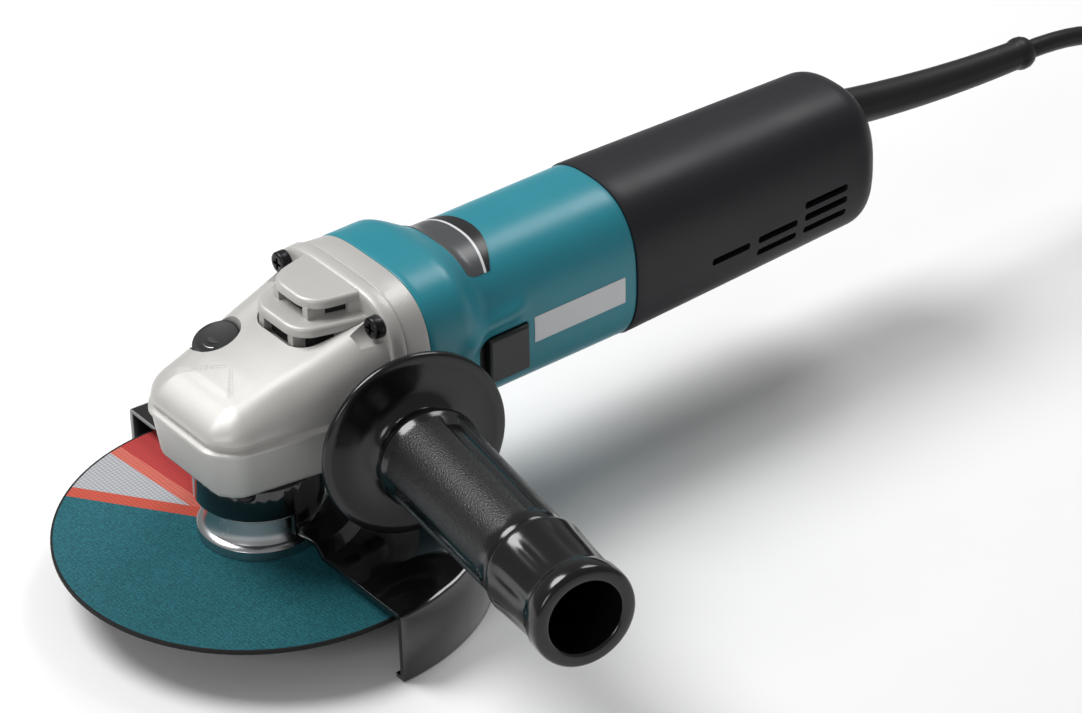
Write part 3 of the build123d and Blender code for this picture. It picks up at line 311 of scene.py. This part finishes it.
def ring_loft(rings, hollow=False):
    """A skin through rings of equally many points, extruded ring by ring; hollow joins the last to the first."""
    bm = bmesh.new()
    current = bmesh.ops.create_circle(bm, segments=len(rings[0]), radius=1)["verts"]
    first_edges = ring_edges = list(bm.edges)
    for vert, spot in zip(current, rings[0]):
        vert.co = spot
    for ring in rings[1:]:
        grown = bmesh.ops.extrude_edge_only(bm, edges=ring_edges)["geom"]
        fresh = {part for part in grown if isinstance(part, bmesh.types.BMVert)}
        ring_edges = [part for part in grown if isinstance(part, bmesh.types.BMEdge)
                      and part.verts[0] in fresh and part.verts[1] in fresh]
        current = [next(e.other_vert(v) for e in v.link_edges if e.other_vert(v) in fresh) for v in current]
        for vert, spot in zip(current, ring):
            vert.co = spot
    if hollow:
        bmesh.ops.bridge_loops(bm, edges=first_edges + ring_edges)
    else:
        bmesh.ops.contextual_create(bm, geom=first_edges)
        bmesh.ops.contextual_create(bm, geom=ring_edges)
    bmesh.ops.remove_doubles(bm, verts=bm.verts, dist=0.002)
    bmesh.ops.recalc_face_normals(bm, faces=bm.faces)
    return bm


def round_rings(profile, count=144):
    """Rings about the spindle's axis from (radius, height) pairs."""
    turns = [2 * math.pi * k / count for k in range(count)]
    return [[Vector((radius_mm * math.cos(turn), radius_mm * math.sin(turn), z)) for turn in turns]
            for radius_mm, z in profile]


FLANGE_PROFILE = ((7.9, 15.0), (22.5, 15.0), (22.8, 15.3), (22.8, 18.7), (22.5, 19.1), (21.3, 19.9), (20.6, 20.2),
                  (20.1, 21.2), (19.4, 24.0), (18.8, 28.6), (18.4, 29.0), (7.9, 29.0))
set_down("clamp_flange", ring_loft(round_rings(FLANGE_PROFILE), hollow=True), "spindle_assembly",
         bright_flange, ["inner_flange"], smooth=28)
set_down("clamp_nut", copied("lock_nut"), "spindle_assembly", bright_flange, ["lock_nut"], bevel=0.4)
finish_cad("spindle", turned_steel)

# ---- wheel guard ----
# Half a disc of sheet steel with a skirt, welded to a clamp band, in gloss black enamel.
# The band goes round the neck of the bearing box and is drawn tight by one screw and nut.
guard_enamel = grained("guard_enamel", (0.004, 0.004, 0.0045), 0.12, scale=260, depth=0.03, spread=0.06)
guard_enamel.node_tree.nodes["Principled BSDF"].inputs["Coat Weight"].default_value = 0.6
guard_enamel.node_tree.nodes["Principled BSDF"].inputs["Coat Roughness"].default_value = 0.05
black_screw = grained("black_screw", (0.03, 0.03, 0.032), 0.35, 1.0, scale=900)


def added(bm, *others):
    """One mesh with the others' shells put in beside its own."""
    for other in others:
        spare = bpy.data.meshes.new("spare")
        other.to_mesh(spare)
        other.free()
        bm.from_mesh(spare)
        bpy.data.meshes.remove(spare)
    return bm


def carved(bm, *cutters):
    """The mesh with the cutters' shapes taken out of it."""
    tool = cutters[0]
    if len(cutters) > 1:
        tool = added(*cutters)
    pieces = []
    for name, shape in (("stock", bm), ("tool", tool)):
        mesh = bpy.data.meshes.new(name)
        shape.to_mesh(mesh)
        shape.free()
        pieces.append(bpy.data.objects.new(name, mesh))
        bpy.context.scene.collection.objects.link(pieces[-1])
    cut = pieces[0].modifiers.new("carve", "BOOLEAN")
    cut.operation, cut.solver, cut.object = "DIFFERENCE", "EXACT", pieces[1]
    result = bmesh.new()
    result.from_mesh(pieces[0].evaluated_get(bpy.context.evaluated_depsgraph_get()).data)
    for piece in pieces:
        mesh = piece.data
        bpy.data.objects.remove(piece)
        bpy.data.meshes.remove(mesh)
    bmesh.ops.remove_doubles(result, verts=result.verts, dist=0.005)
    bmesh.ops.dissolve_degenerate(result, dist=0.005, edges=result.edges)
    return result


def boxed(low, high, bevel=0.0):
    """A block between two corners, its edges rounded."""
    bm = bmesh.new()
    bmesh.ops.create_cube(bm, size=1)
    middle, size = (Vector(low) + Vector(high)) / 2, Vector(high) - Vector(low)
    bmesh.ops.scale(bm, vec=size, verts=bm.verts)
    bmesh.ops.translate(bm, vec=middle, verts=bm.verts)
    if bevel:
        bmesh.ops.bevel(bm, geom=bm.edges, offset=bevel, segments=4, affect="EDGES", profile=0.5, material=-1)
    return bm


# in front the band is narrower, so that the flange shows under it
guard = carved(copied("wheel_guard"), boxed((-40, -40, 20), (-1, 24, 32.4)))
set_down("guard_shell", guard, "guard", guard_enamel, ["wheel_guard"],
         bevel=0.5, segments=3)
set_down("guard_screw", copied("guard_clamp_screw"), "guard", black_screw,
         ["guard_clamp_screw"], bevel=0.2)
set_down("guard_nut", copied("guard_clamp_nut"), "guard", turned_steel, ["guard_clamp_nut"], bevel=0.3)


# ---- gear housing ----
# Die-cast aluminium in satin silver paint, screwed to the motor housing through its flange.
# It has a sloping crowned top, a lip at the joint, and two louvred hoods for the air.
PARTING_Z = 67.2
FLANGE_X = 36.0
AXIS_Z = 70.2
NOSE_X = -31.0
NOSE_TOP_Z = 78.0
HEAD_SLOPE = 0.294
HEAD_HALF_WIDTH = 34.5
OUTLINE = [(36, -34.5, 0), (36, 34.5, 0), (10, 32, 30), (-24, 26.5, 12), (-31, 18, 9),
           (-31, -18, 9), (-24, -26.5, 12), (10, -32, 30)]
silver_paint = grained("silver_paint", (0.47, 0.46, 0.44), 0.42, 0.25, scale=2200, depth=0.22, spread=0.08, tint=0.03)
# near-black for the prisms inside the louvre hoods: painted shade for the deep slot openings
slot_shade_black = grained("slot_shade_black", (0.004, 0.004, 0.004), 0.8)


def rounded_outline(corners, count):
    """Points spaced evenly round a polygon with rounded corners, (x, y, radius), and the way out at each."""
    path = []
    for before, corner, after in zip(corners[-1:] + corners[:-1], corners, corners[1:] + corners[:1]):
        at = Vector(corner[:2])
        to_before, to_after = (Vector(before[:2]) - at).normalized(), (Vector(after[:2]) - at).normalized()
        half = to_before.angle(to_after) / 2
        centre = at + (to_before + to_after).normalized() * corner[2] / math.sin(half)
        start, stop = at + to_before * corner[2] / math.tan(half), at + to_after * corner[2] / math.tan(half)
        for step in range(13 if corner[2] else 1):
            spot = start.lerp(stop, step / 12)
            path.append(centre + (spot - centre).normalized() * corner[2] if corner[2] else at)
    path.append(path[0])
    lengths = [(b - a).length for a, b in zip(path, path[1:])]
    total, spots, segment, passed = sum(lengths), [], 0, 0.0
    for step in range(count):
        target = total * step / count
        while passed + lengths[segment] < target:
            passed += lengths[segment]
            segment += 1
        spots.append(path[segment].lerp(path[segment + 1], (target - passed) / lengths[segment]))
    ways = []
    for before, after in zip(spots[-1:] + spots[:-1], spots[1:] + spots[:1]):
        along = (after - before).normalized()
        ways.append(Vector((along.y, -along.x)))
    return list(zip(spots, ways))


def stood(outline, low_z, high_z, round_top=0.0):
    """An upright prism on an outline of (x, y) points, with its top edge rounded."""
    rings = [[(*spot, low_z) for spot in outline]]
    if not round_top:
        return ring_loft(rings + [[(*spot, high_z) for spot in outline]])
    ways = ways_round(outline)
    for step in range(6):
        turn = math.pi / 2 * step / 5
        pulled, dropped = round_top * (1 - math.cos(turn)), round_top * (1 - math.sin(turn))
        rings.append([(*(Vector(spot) - way * pulled), high_z - dropped) for spot, way in zip(outline, ways)])
    return ring_loft(rings)


def ways_round(outline):
    """The way out at each point of a closed outline."""
    ways = []
    for before, after in zip(outline[-1:] + outline[:-1], outline[1:] + outline[:1]):
        along = (Vector(after) - Vector(before)).normalized()
        ways.append(Vector((along.y, -along.x)))
    return ways


def peg(centre, way, radius, length, count=48):
    """A round peg from a point along a direction."""
    way = Vector(way).normalized()
    side = way.orthogonal().normalized()
    other = way.cross(side)
    rings = []
    for reach in (0, length):
        rings.append([Vector(centre) + way * reach + (side * math.cos(2 * math.pi * k / count)
                                                      + other * math.sin(2 * math.pi * k / count)) * radius
                      for k in range(count)])
    return ring_loft(rings)


def top_z(x):
    """Height of the head's sloping top at x."""
    return NOSE_TOP_Z + HEAD_SLOPE * (x - NOSE_X)


head_points = rounded_outline(OUTLINE, 200)


def head_ring(inset, rise=None, drop_share=None):
    """One ring of the head, inset from its outline, at a height above the joint or part way down the rounding."""
    ring = []
    for spot, way in head_points:
        x, y = spot - way * inset
        if spot.x > FLANGE_X - 0.3:
            x = FLANGE_X
            y = max(inset - HEAD_HALF_WIDTH, min(HEAD_HALF_WIDTH - inset, spot.y))
        x = min(x, FLANGE_X)
        room = top_z(x) - PARTING_Z - 4.8
        z = PARTING_Z + rise if drop_share is None else top_z(x) - min(15.0, room) * drop_share
        ring.append(Vector((x, y, z)))
    return ring


lip_steps = [(-0.6, 0.0), (-1.0, 0.25), (-1.0, 1.3), (-0.7, 1.6), (0.3, 1.9), (0.9, 2.5), (0.8, 3.2), (0.2, 4.3)]
head_rings = [head_ring(inset, rise=rise) for inset, rise in lip_steps]
rounding_width = 13.0
for step in range(13):
    turn = math.pi / 2 * step / 12
    head_rings.append(head_ring(rounding_width * (1 - math.cos(turn)), drop_share=1 - math.sin(turn)))
last_ring = head_rings[-1]
for step in range(1, 9):
    share = 0.94 * step / 8
    ring = []
    for spot in last_ring:
        middle_x = -8.0 + (spot.x + 18.0) * 42 / 54
        x, y = spot.x + (middle_x - spot.x) * share, spot.y * (1 - share)
        crown = 0.9 * (1 - min(1.0, abs(y) / 17) ** 2) * min(1.0, max(0.0, (x + 24) / 16))
        ring.append(Vector((x, y, top_z(x) + crown)))
    head_rings.append(ring)
head = ring_loft(head_rings)


def squircle_ring(x, half_y, half_z, power, count=200):
    """A rounded-square ring about the motor's axis."""
    ring = []
    for step in range(count):
        turn = 2 * math.pi * step / count
        c, s = math.cos(turn), math.sin(turn)
        reach = (abs(c) ** power + abs(s) ** power) ** (-1 / power)
        ring.append(Vector((x, half_y * reach * c, AXIS_Z + half_z * reach * s)))
    return ring


flange_rings = [squircle_ring(x, 36.3 - inset, 36.8 - inset, 4.0) for x, inset in
                ((36.0, 3.0), (36.0, 1.4), (36.3, 0.6), (37.0, 0.1), (41.2, 0.0), (41.8, 0.2), (42.0, 0.6))]
flange = ring_loft(flange_rings)


def hood_outline(front_x, half_front, half_back, grown=0.0):
    """A louvre hood's plan: bowed in front, widening towards the flange."""
    corners = [(FLANGE_X + 4, -half_back - grown, 0), (FLANGE_X + 4, half_back + grown, 0),
               (front_x - grown, half_front + grown, 10.5), (front_x - grown, -half_front - grown, 10.5)]
    return [tuple(spot) for spot, way in rounded_outline(corners, 96)]


hoods = []
slots = []
for front_x, half_front, half_back, slot_low, slot_high, plate_top in (
        (10.8, 14.0, 23.0, 90.2, 95.0, 98.6), (17.6, 12.3, 17.6, 98.4, 103.0, 106.4)):
    hoods.append(stood(hood_outline(front_x, half_front, half_back), slot_high, plate_top, 1.6))
    # a near-black prism inside each hood fills the slot opening: painted shade for the deep opening
    slots.append(stood(hood_outline(front_x, half_front, half_back, -3.2), slot_low - 3, slot_high + 0.5))
    if front_x < 15:
        mouth = hood_outline(front_x, half_front, half_back, 0.37)
        head = carved(head, stood([(min(x, 33.0), y) for x, y in mouth if x < 33.5], slot_low - 2.3, slot_high + 9.3))
    for rib_y in (-8.7, 8.7):
        rib = [(front_x + 0.8, rib_y - 1.5), (front_x + 8, rib_y - 1.7),
               (front_x + 8, rib_y + 1.7), (front_x + 0.8, rib_y + 1.5)]
        hoods.append(stood(rib, slot_low - 3, slot_high + 0.5))
    # the side walls that close the slots behind
    for side in (-1, 1):
        cheek = [(front_x + 15, side * (half_front + 0.6)), (FLANGE_X + 0.5, side * (half_back - 2.6)),
                 (FLANGE_X + 0.5, side * (half_back - 0.6)), (front_x + 15, side * (half_front + 2.4))]
        hoods.append(stood(cheek if side > 0 else cheek[::-1], slot_low - 4, slot_high + 0.5))
for cutter in (peg((-1.03, 19.52, 77.01), (0, 0, 1), 9.3, 20), peg((27.02, 27.8, 98.0), (1, 0, 0), 6.0, 8.7),
               peg((27.02, -27.8, 98.0), (1, 0, 0), 6.0, 8.7)):
    head = carved(head, cutter)
head = added(head, flange, *hoods)
set_down("gear_head", head, "housing", silver_paint, ["gear_housing"], bevel=0.5, segments=3, smooth=40)
# the slot fills are painted shade, near-black prisms behind the louvre mouths
set_down("louvre_slot_shade", added(*slots), "housing", slot_shade_black)

# ---- bearing box, cover plate and their screws ----
# The lower half of the head and the plate behind the flange, cast and painted as the upper.
# Black cross-head screws hold the box to the head, and the head to the motor housing.
box_rings = [head_ring(inset, rise=rise) for inset, rise in
             ((0.6, 0.0), (-0.1, -0.2), (0.0, -0.9), (2.3, -16.4), (2.7, -17.6), (3.6, -18.7), (4.9, -19.2))]
NECK_PROFILE = ((21.0, 49.0), (21.0, 30.4), (20.6, 30.0), (12.4, 30.0), (12.0, 30.4), (12.0, 49.0))
neck = ring_loft(round_rings(NECK_PROFILE), hollow=True)
lower = carved(ring_loft(box_rings), peg((0, 0, 40), (0, 0, 1), 11.9, 22, 96))
set_down("lower_head", added(lower, neck), "housing", silver_paint, ["bearing_box"], bevel=0.4, smooth=40)
set_down("cover_plate", copied("gear_housing_cover"), "housing", silver_paint, ["gear_housing_cover"],
         bevel=0.7, segments=3)
set_down("flange_screws", copied("gear_housing_screws"), "housing", black_screw,
         ["gear_housing_screws"], bevel=0.25)
set_down("box_screws", copied("bearing_box_screws"), "housing", black_screw,
         ["bearing_box_screws"], bevel=0.25)

# ---- shaft lock ----
# A button of dark moulded plastic on a steel pin, held up by a spring in the head.
# Pressed, it holds the spindle still while the wheel is changed.
button_plastic = grained("button_plastic", (0.010, 0.010, 0.011), 0.52, scale=1800, specular=0.3)
cap_rings = []
for radius_mm, z in ((8.5, 81.6), (8.5, 84.3), (8.3, 84.9), (7.6, 85.2), (6.4, 85.0), (5.0, 84.7), (1.0, 84.6)):
    turns = [2 * math.pi * k / 72 for k in range(72)]
    cap_rings.append([Vector((-1 + radius_mm * math.cos(turn), 19.5 + radius_mm * math.sin(turn),
                              z + (HEAD_SLOPE * radius_mm * math.cos(turn) if z > 82 else 0)))
                     for turn in turns])
set_down("lock_cap", ring_loft(cap_rings), "shaft_lock", button_plastic, ["lock_button"], smooth=32)


# ---- motor housing ----
# Glass-filled nylon, moulded teal, with the head on its front and the rear cover behind.
# A square collar draws in to the grip, and a soft brow runs over the switch.
teal_plastic = grained("teal_plastic", (0.012, 0.205, 0.262), 0.36, scale=1300, depth=0.16, spread=0.08, tint=0.05)
COLLAR, GRIP = (36.3, 36.8, 3.4), (28.2, 31.7, 2.6)


def body_section(x):
    """Half width, half height and squareness of the motor housing at x."""
    share = max(0.0, min(1.0, (x - 67.0) / 17.0))
    eased = share * share * (3 - 2 * share)
    return [a + (b - a) * eased for a, b in zip(COLLAR, GRIP)]


def with_brow(ring):
    """The ring with the soft ridge that runs over the switch on its -Y side."""
    out = []
    for spot in ring:
        ends = max(0.0, min(1.0, (spot.x - 62.0) / 8.0)) * max(0.0, min(1.0, (103.0 - spot.x) / 9.0))
        ends = ends * ends * (3 - 2 * ends)
        middle = 78.4 + 0.05 * (spot.x - 67)
        lift = 2.2 * math.exp(-((spot.z - middle) / 3.4) ** 2) * ends if spot.y < 0 else 0.0
        out.append(spot + Vector((0, -lift, 0)))
    return out


def body_ring(x, inset):
    """One ring of the motor housing at x, inset from its outside."""
    half_y, half_z, power = body_section(x)
    return squircle_ring(x, half_y - inset, half_z - inset, power)


outside = [(52.0, 0.8), (52.2, 0.25), (52.8, 0.0)] + [(53.0 + 2.0 * k, 0.0) for k in range(1, 6)] \
    + [(64.0 + 1.5 * k, 0.0) for k in range(27)] + [(106.0 + 4 * k, 0.0) for k in range(11)] \
    + [(149.2, 0.0), (149.8, 0.25), (150.0, 0.8)]
body_rings = [with_brow(body_ring(x, inset)) for x, inset in outside]
body_rings += [body_ring(x, 3.0) for x in (150.0, 120.0, 100.0, 84.0, 80.0, 76.0, 72.0, 67.0, 60.0, 52.0)]


body = carved(ring_loft(body_rings, hollow=True), boxed((75.2, -45, 54.0), (100.3, -20, 73.6), 1.2))
set_down("motor_body", body, "housing", teal_plastic, ["motor_housing"],
         bevel=0.35, segments=2, smooth=45)

# ---- switch ----
# A black nylon slider in a well in the housing's side, pushed forward by the thumb; a near-black plate closes the back
# of the well.
# A rod behind it, inside the housing, works the switch under the rear cover.
switch_plastic = grained("switch_plastic", (0.012, 0.012, 0.013), 0.42, scale=1600, depth=0.15)
# a near-black plate at the back of the cut in the housing
well = boxed((75.6, -26.4, 54.4), (99.9, -24.6, 73.2))
set_down("switch_well", well, "housing", switch_plastic, bevel=0.2)
set_down("slide_button", copied("switch_slider"), "switch_slide", switch_plastic, ["switch_slider"],
         bevel=0.5, segments=3)


# ---- badge and label ----
# A dark plate on top of the grip, and a blank pale label on its side.
# Both are thin plastic film, glued to the moulding.
def skin_patch(spot_of, steps_along, steps_across, thickness):
    """A thin curved plate: a grid laid out by spot_of(along, across), both from 0 to 1, and given thickness."""
    bm = bmesh.new()
    bmesh.ops.create_grid(bm, x_segments=steps_along, y_segments=steps_across, size=1)
    for vert in bm.verts:
        vert.co = spot_of((vert.co.x + 1) / 2, (vert.co.y + 1) / 2)
    bmesh.ops.recalc_face_normals(bm, faces=bm.faces)
    bmesh.ops.solidify(bm, geom=bm.faces, thickness=thickness)
    return bm


def badge_spot(along, across_share):
    """A point of the badge: on top of the grip, with an arched rear edge."""
    y = -21.0 + 42.0 * across_share
    end_x = 97.0 - 7.5 * (y / 21.0) ** 2
    x = 79.5 + (end_x - 79.5) * along
    half_y, half_z, power = body_section(x)
    return (x, y, AXIS_Z + 0.3 + half_z * (1 - abs(y / half_y) ** power) ** (1 / power))


def label_spot(along, across_share):
    """A point of the label, on the -Y side of the grip."""
    z = 63.0 + 10.8 * across_share
    return (103.0 + 41.4 * along, -0.2 - GRIP[0] * (1 - abs((z - AXIS_Z) / GRIP[1]) ** GRIP[2]) ** (1 / GRIP[2]), z)


badge_face, surface, tree = shader("badge_face", (0.05, 0.052, 0.056), 0.3)
place = add_node(tree, "ShaderNodeTexCoord").outputs["Object"]
bow = add_node(tree, "ShaderNodeVectorMath", {1: (-0.030, 0, -0.1)}, operation="ADD")
tree.links.new(place, bow.inputs[0])
plain = add_node(tree, "ShaderNodeVectorMath", {1: (1000, 1000, 0)}, operation="MULTIPLY")
tree.links.new(bow.outputs["Vector"], plain.inputs[0])
reach = add_node(tree, "ShaderNodeVectorMath", operation="LENGTH")
tree.links.new(plain.outputs["Vector"], reach.inputs[0])
distance = reach.outputs["Value"]
arc = compared(tree, "MULTIPLY", compared(tree, "GREATER_THAN", distance, 60.6),
               compared(tree, "LESS_THAN", distance, 61.6))
sheen_noise = add_node(tree, "ShaderNodeTexNoise", {"Scale": 1800.0})
tree.links.new(place, sheen_noise.inputs["Vector"])
ground = painted_over(tree, (0.045, 0.047, 0.05), (0.07, 0.072, 0.076), sheen_noise.outputs["Fac"])
ground = painted_over(tree, ground, (0.012, 0.012, 0.013), compared(tree, "GREATER_THAN", distance, 61.6))
tree.links.new(painted_over(tree, ground, (0.6, 0.6, 0.62), arc), surface.inputs["Base Color"])
label_paper = grained("label_film", (0.62, 0.63, 0.64), 0.32, scale=2000, depth=0.04)
set_down("top_badge", skin_patch(badge_spot, 24, 40, 0.5), "housing", badge_face, bevel=0.15)
set_down("rating_label", skin_patch(label_spot, 8, 12, 0.15), "housing", label_paper, bevel=0.05)

# ---- rear cover ----
# A charcoal nylon cap over the brushes and the switch, with cooling slots in each side.
# One screw in its end holds it, and the lead comes out above.
cover_plastic = grained("cover_plastic", (0.012, 0.012, 0.015), 0.45, scale=1500, depth=0.2, spread=0.08, specular=0.3)


def cover_ring(x, inset):
    """One ring of the rear cover: a long taper and a rounded end."""
    share = (x - 150.0) / 121.0
    past = max(0.0, x - 260.0) / 11.0
    pull = 9.0 * (1 - (1 - min(1.0, past) ** 2) ** 0.5)
    return squircle_ring(x, 28.8 - 3.2 * share - pull - inset, 32.15 - 2.75 * share - pull - inset, 2.6)


cover_rings = [cover_ring(150.0, 0.7), cover_ring(150.2, 0.2), cover_ring(150.8, 0.0)]
cover_rings += [cover_ring(x, 0.0) for x in (155, 170, 185, 200, 215, 230, 245, 255, 260)]
cover_rings += [cover_ring(260 + 11 * math.sin(math.pi / 2 * step / 10), 0.0) for step in range(1, 11)]
cover_rings += [cover_ring(271.0, 1.0), cover_ring(271.0, 6.0)]
room = ring_loft([cover_ring(x, 2.5) for x in (149.0, 205.0, 260.0, 266.5, 268.0)])
vent_cutters = [room, peg((270.9, 0, 49.7), (1, 0, 0), 4.0, 3)]
for front_x, back_x, z in ((185.9, 204.4, 62.7), (208.5, 227.8, 63.1), (208.5, 227.8, 57.3),
                           (231.5, 252.8, 68.7), (231.5, 252.8, 63.4), (231.5, 252.8, 57.6)):
    vent_cutters.append(boxed((front_x, -40, z - 1.5), (back_x, 40, z + 1.5), 1.1))
rear = ring_loft(cover_rings)
for cutter in vent_cutters:
    rear = carved(rear, cutter)
set_down("rear_shell", rear, "housing", cover_plastic, ["rear_cover"],
         bevel=0.3, segments=2, smooth=45)
set_down("rear_screw", copied("rear_cover_screw"), "housing", black_screw,
         ["rear_cover_screw"], bevel=0.2)

# ---- strain relief ----
# A tapered sleeve of black rubber with a bead at its end, caught in the rear cover.
# It keeps the lead from bending sharply where it comes out.
relief_rubber = grained("relief_rubber", (0.008, 0.008, 0.009), 0.46, scale=1100, depth=0.2, specular=0.35)
set_down("relief_sleeve", copied("strain_relief"), "housing", relief_rubber,
         ["strain_relief"], bevel=0.3)


# ---- side handle ----
# Moulded black nylon on an M8 stud, which screws into the side of the head.
# It has a dished hand guard, three pebbled panels with flutes between, and a stepped end.
handle_gloss, surface, tree = shader("handle_gloss", (0.004, 0.004, 0.0045), 0.20)
pebble_mask = add_node(tree, "ShaderNodeAttribute", attribute_name="panel").outputs["Fac"]
place = add_node(tree, "ShaderNodeTexCoord").outputs["Object"]
pebbles = add_node(tree, "ShaderNodeTexVoronoi", {"Scale": 1900.0}, feature="SMOOTH_F1")
tree.links.new(place, pebbles.inputs["Vector"])
bumps = add_node(tree, "ShaderNodeBump", {"Strength": 0.5, "Distance": 0.0003})
tree.links.new(compared(tree, "MULTIPLY", pebbles.outputs["Distance"], pebble_mask), bumps.inputs["Height"])
tree.links.new(bumps.outputs["Normal"], surface.inputs["Normal"])
tree.links.new(compared(tree, "ADD", 0.16, compared(tree, "MULTIPLY", pebble_mask, 0.22)), surface.inputs["Roughness"])
HANDLE_PROFILE = [(7.0, 0.1), (7.5, 1.0), (10.0, 4.0), (11.5, 12.0), (13.0, 16.2), (15.0, 17.0),
                  (22.0, 17.3), (30.0, 17.2), (34.2, 17.4), (34.8, 18.0), (34.9, 19.0), (34.7, 20.1),
                  (34.0, 20.5), (31.0, 20.2), (27.0, 19.9), (22.0, 20.2), (18.5, 20.9), (16.3, 22.2),
                  (15.3, 24.2), (15.3, 25.4), (16.0, 27.0), (17.4, 28.4), (18.7, 29.8), (19.2, 31.2),
                  (18.9, 32.6), (18.3, 34.0), (18.15, 36.0)]
HANDLE_PROFILE += [(18.15 - 0.95 * (s - 38) / 66, s) for s in range(38, 105, 2)]
HANDLE_PROFILE += [(17.2, 105.0), (17.25, 107.6), (16.9, 108.1), (16.9, 108.7), (18.2, 109.1), (18.7, 109.8),
                   (18.8, 110.8), (18.6, 112.4), (18.4, 116.0), (18.2, 120.0), (18.0, 125.0), (17.8, 130.0),
                   (17.7, 134.4), (17.8, 136.2), (18.3, 137.2), (18.7, 138.4), (18.8, 141.0), (18.7, 143.4),
                   (18.3, 144.6), (17.5, 145.2), (14.4, 145.3), (13.7, 145.0), (13.3, 144.2), (13.3, 120.0),
                   (13.3, 89.0), (12.6, 87.0), (6.0, 86.0), (0.3, 86.0)]
handle_out = Vector((-0.1769, -0.983, 0.0491)).normalized()
handle_side = Vector((0, 0, 1)).cross(handle_out).normalized()
handle_up = handle_out.cross(handle_side)
handle_foot = Vector((33.0, -36.0, 64.9))


def eased_step(value, low, high):
    """0 below low, 1 above high, and smooth between."""
    share = max(0.0, min(1.0, (value - low) / (high - low)))
    return share * share * (3 - 2 * share)


def panel_at(turn, s):
    """1 on the three pebbled panels, 0 in the flutes and off the grip."""
    gap = min(abs((turn - middle + 180) % 360 - 180) for middle in (70, 190, 310))
    return eased_step(gap, 9, 13) * eased_step(s, 33.5, 36.5) * (1 - eased_step(s, 100.5, 103.5))


handle_rings = []
for radius_mm, s in HANDLE_PROFILE:
    ring = []
    for step in range(216):
        turn = 360 * step / 216
        grown = radius_mm
        if 33 < s < 104 and radius_mm > 14:
            grown += -0.9 + 0.9 * panel_at(turn, s) if 36 < s < 101 else 0.0
        if 114 < s < 136 and radius_mm > 14:
            along = eased_step(s, 113, 117) * (1 - eased_step(s, 132, 135.5))
            grown -= 0.55 * (0.5 + 0.5 * math.cos(math.radians(turn * 9))) ** 5 * along
        angle = math.radians(turn)
        way = handle_side * math.cos(angle) + handle_up * math.sin(angle)
        ring.append(handle_foot + handle_out * s + way * grown)
    handle_rings.append(ring)
handle = ring_loft(handle_rings)
panel_layer = handle.verts.layers.float.new("panel")
for vert in handle.verts:
    offset = vert.co - handle_foot
    s = offset.dot(handle_out)
    radial = offset - handle_out * s
    turn = math.degrees(math.atan2(radial.dot(handle_up), radial.dot(handle_side))) % 360
    vert[panel_layer] = panel_at(turn, s) if radial.length > 14 else 0.0
set_down("handle_grip", handle, "housing", handle_gloss, ["side_handle"], smooth=50)
finish_cad("side_handle_stud", turned_steel)

# ---- inside the tool ----
# Gears, bearings, the motor, the switch and what holds the lead: steel, copper, carbon, plastic.
# They show only when the tool is open, and keep the shapes they were packed with.
bearing_steel = grained("bearing_steel", (0.55, 0.55, 0.56), 0.22, 1.0, scale=600)
spring_steel = grained("spring_steel", (0.30, 0.30, 0.31), 0.28, 1.0, scale=700)
seal_rubber = grained("seal_rubber", (0.012, 0.012, 0.012), 0.6)
lamination = grained("lamination", (0.16, 0.16, 0.17), 0.42, 1.0, scale=3000, depth=0.3)
copper = grained("copper", (0.62, 0.24, 0.11), 0.3, 1.0, scale=2200, depth=0.3)
carbon = grained("carbon", (0.02, 0.02, 0.02), 0.5)
grey_plastic = grained("grey_plastic", (0.12, 0.12, 0.125), 0.45)
for material, names in ((bearing_steel, ("spindle_bearing", "spindle_needle_bearing", "pinion_bearing",
                                         "rear_armature_bearing")),
                        (turned_steel, ("bearing_retainer", "driven_gear", "drive_pinion", "armature_shaft", "lock_pin",
                                        "cord_clamp_screws")),
                        (spring_steel, ("lock_spring", "brush_spring_upper", "brush_spring_lower")),
                        (seal_rubber, ("spindle_seal",)), (lamination, ("stator_core", "armature_core")),
                        (copper, ("stator_windings", "armature_windings", "commutator")), (brass, ("brush_holders",)),
                        (carbon, ("carbon_brush_upper", "carbon_brush_lower")), (cord_rubber, ("cord_lead_in",)),
                        (grey_plastic, ("cooling_fan", "fan_baffle", "cord_clamp")),
                        (switch_plastic, ("power_switch", "switch_rod"))):
    for name in names:
        finish_cad(name, material)

# ---- floor and lights ----
# A pale studio floor half a millimetre under the guard's skirt and the coiled lead.
# Wide soft lights stand above and behind, in front, and at the rear.
floor_bm = bmesh.new()
bmesh.ops.create_grid(floor_bm, x_segments=1, y_segments=1, size=6)
bmesh.ops.translate(floor_bm, vec=(0, 0, FLOOR_Z * MM - 0.0005), verts=floor_bm.verts)
floor_mesh = bpy.data.meshes.new("studio_floor")
floor_bm.to_mesh(floor_mesh)
floor_bm.free()
floor = bpy.data.objects.new("studio_floor", floor_mesh)
bpy.context.scene.collection.objects.link(floor)
floor_mesh.materials.append(grained("floor_paper", (0.86, 0.86, 0.86), 0.7, scale=300, depth=0.02, tint=0.01))

world = bpy.data.worlds.new("studio")
bpy.context.scene.world = world
world.use_nodes = True
world.node_tree.nodes["Background"].inputs["Color"].default_value = (1, 1, 1, 1)
world.node_tree.nodes["Background"].inputs["Strength"].default_value = 0.30
for name, spot, target, size, power in (("key", (-0.35, 0.55, 1.15), (0.1, 0, 0.06), 0.7, 15.0),
                                        ("fill", (-1.3, -0.5, 0.75), (0.1, 0, 0.06), 0.6, 4.5),
                                        ("rim", (0.75, 0.2, 0.95), (0.1, 0, 0.06), 0.5, 4.0)):
    light = bpy.data.objects.new(name, bpy.data.lights.new(name, "AREA"))
    bpy.context.scene.collection.objects.link(light)
    light.data.shape = "DISK"
    light.data.size = size
    light.data.energy = power
    light.location = spot
    light.rotation_euler = (Vector(target) - Vector(spot)).to_track_quat("-Z", "Y").to_euler()
bpy.context.scene.view_settings.view_transform = "Standard"
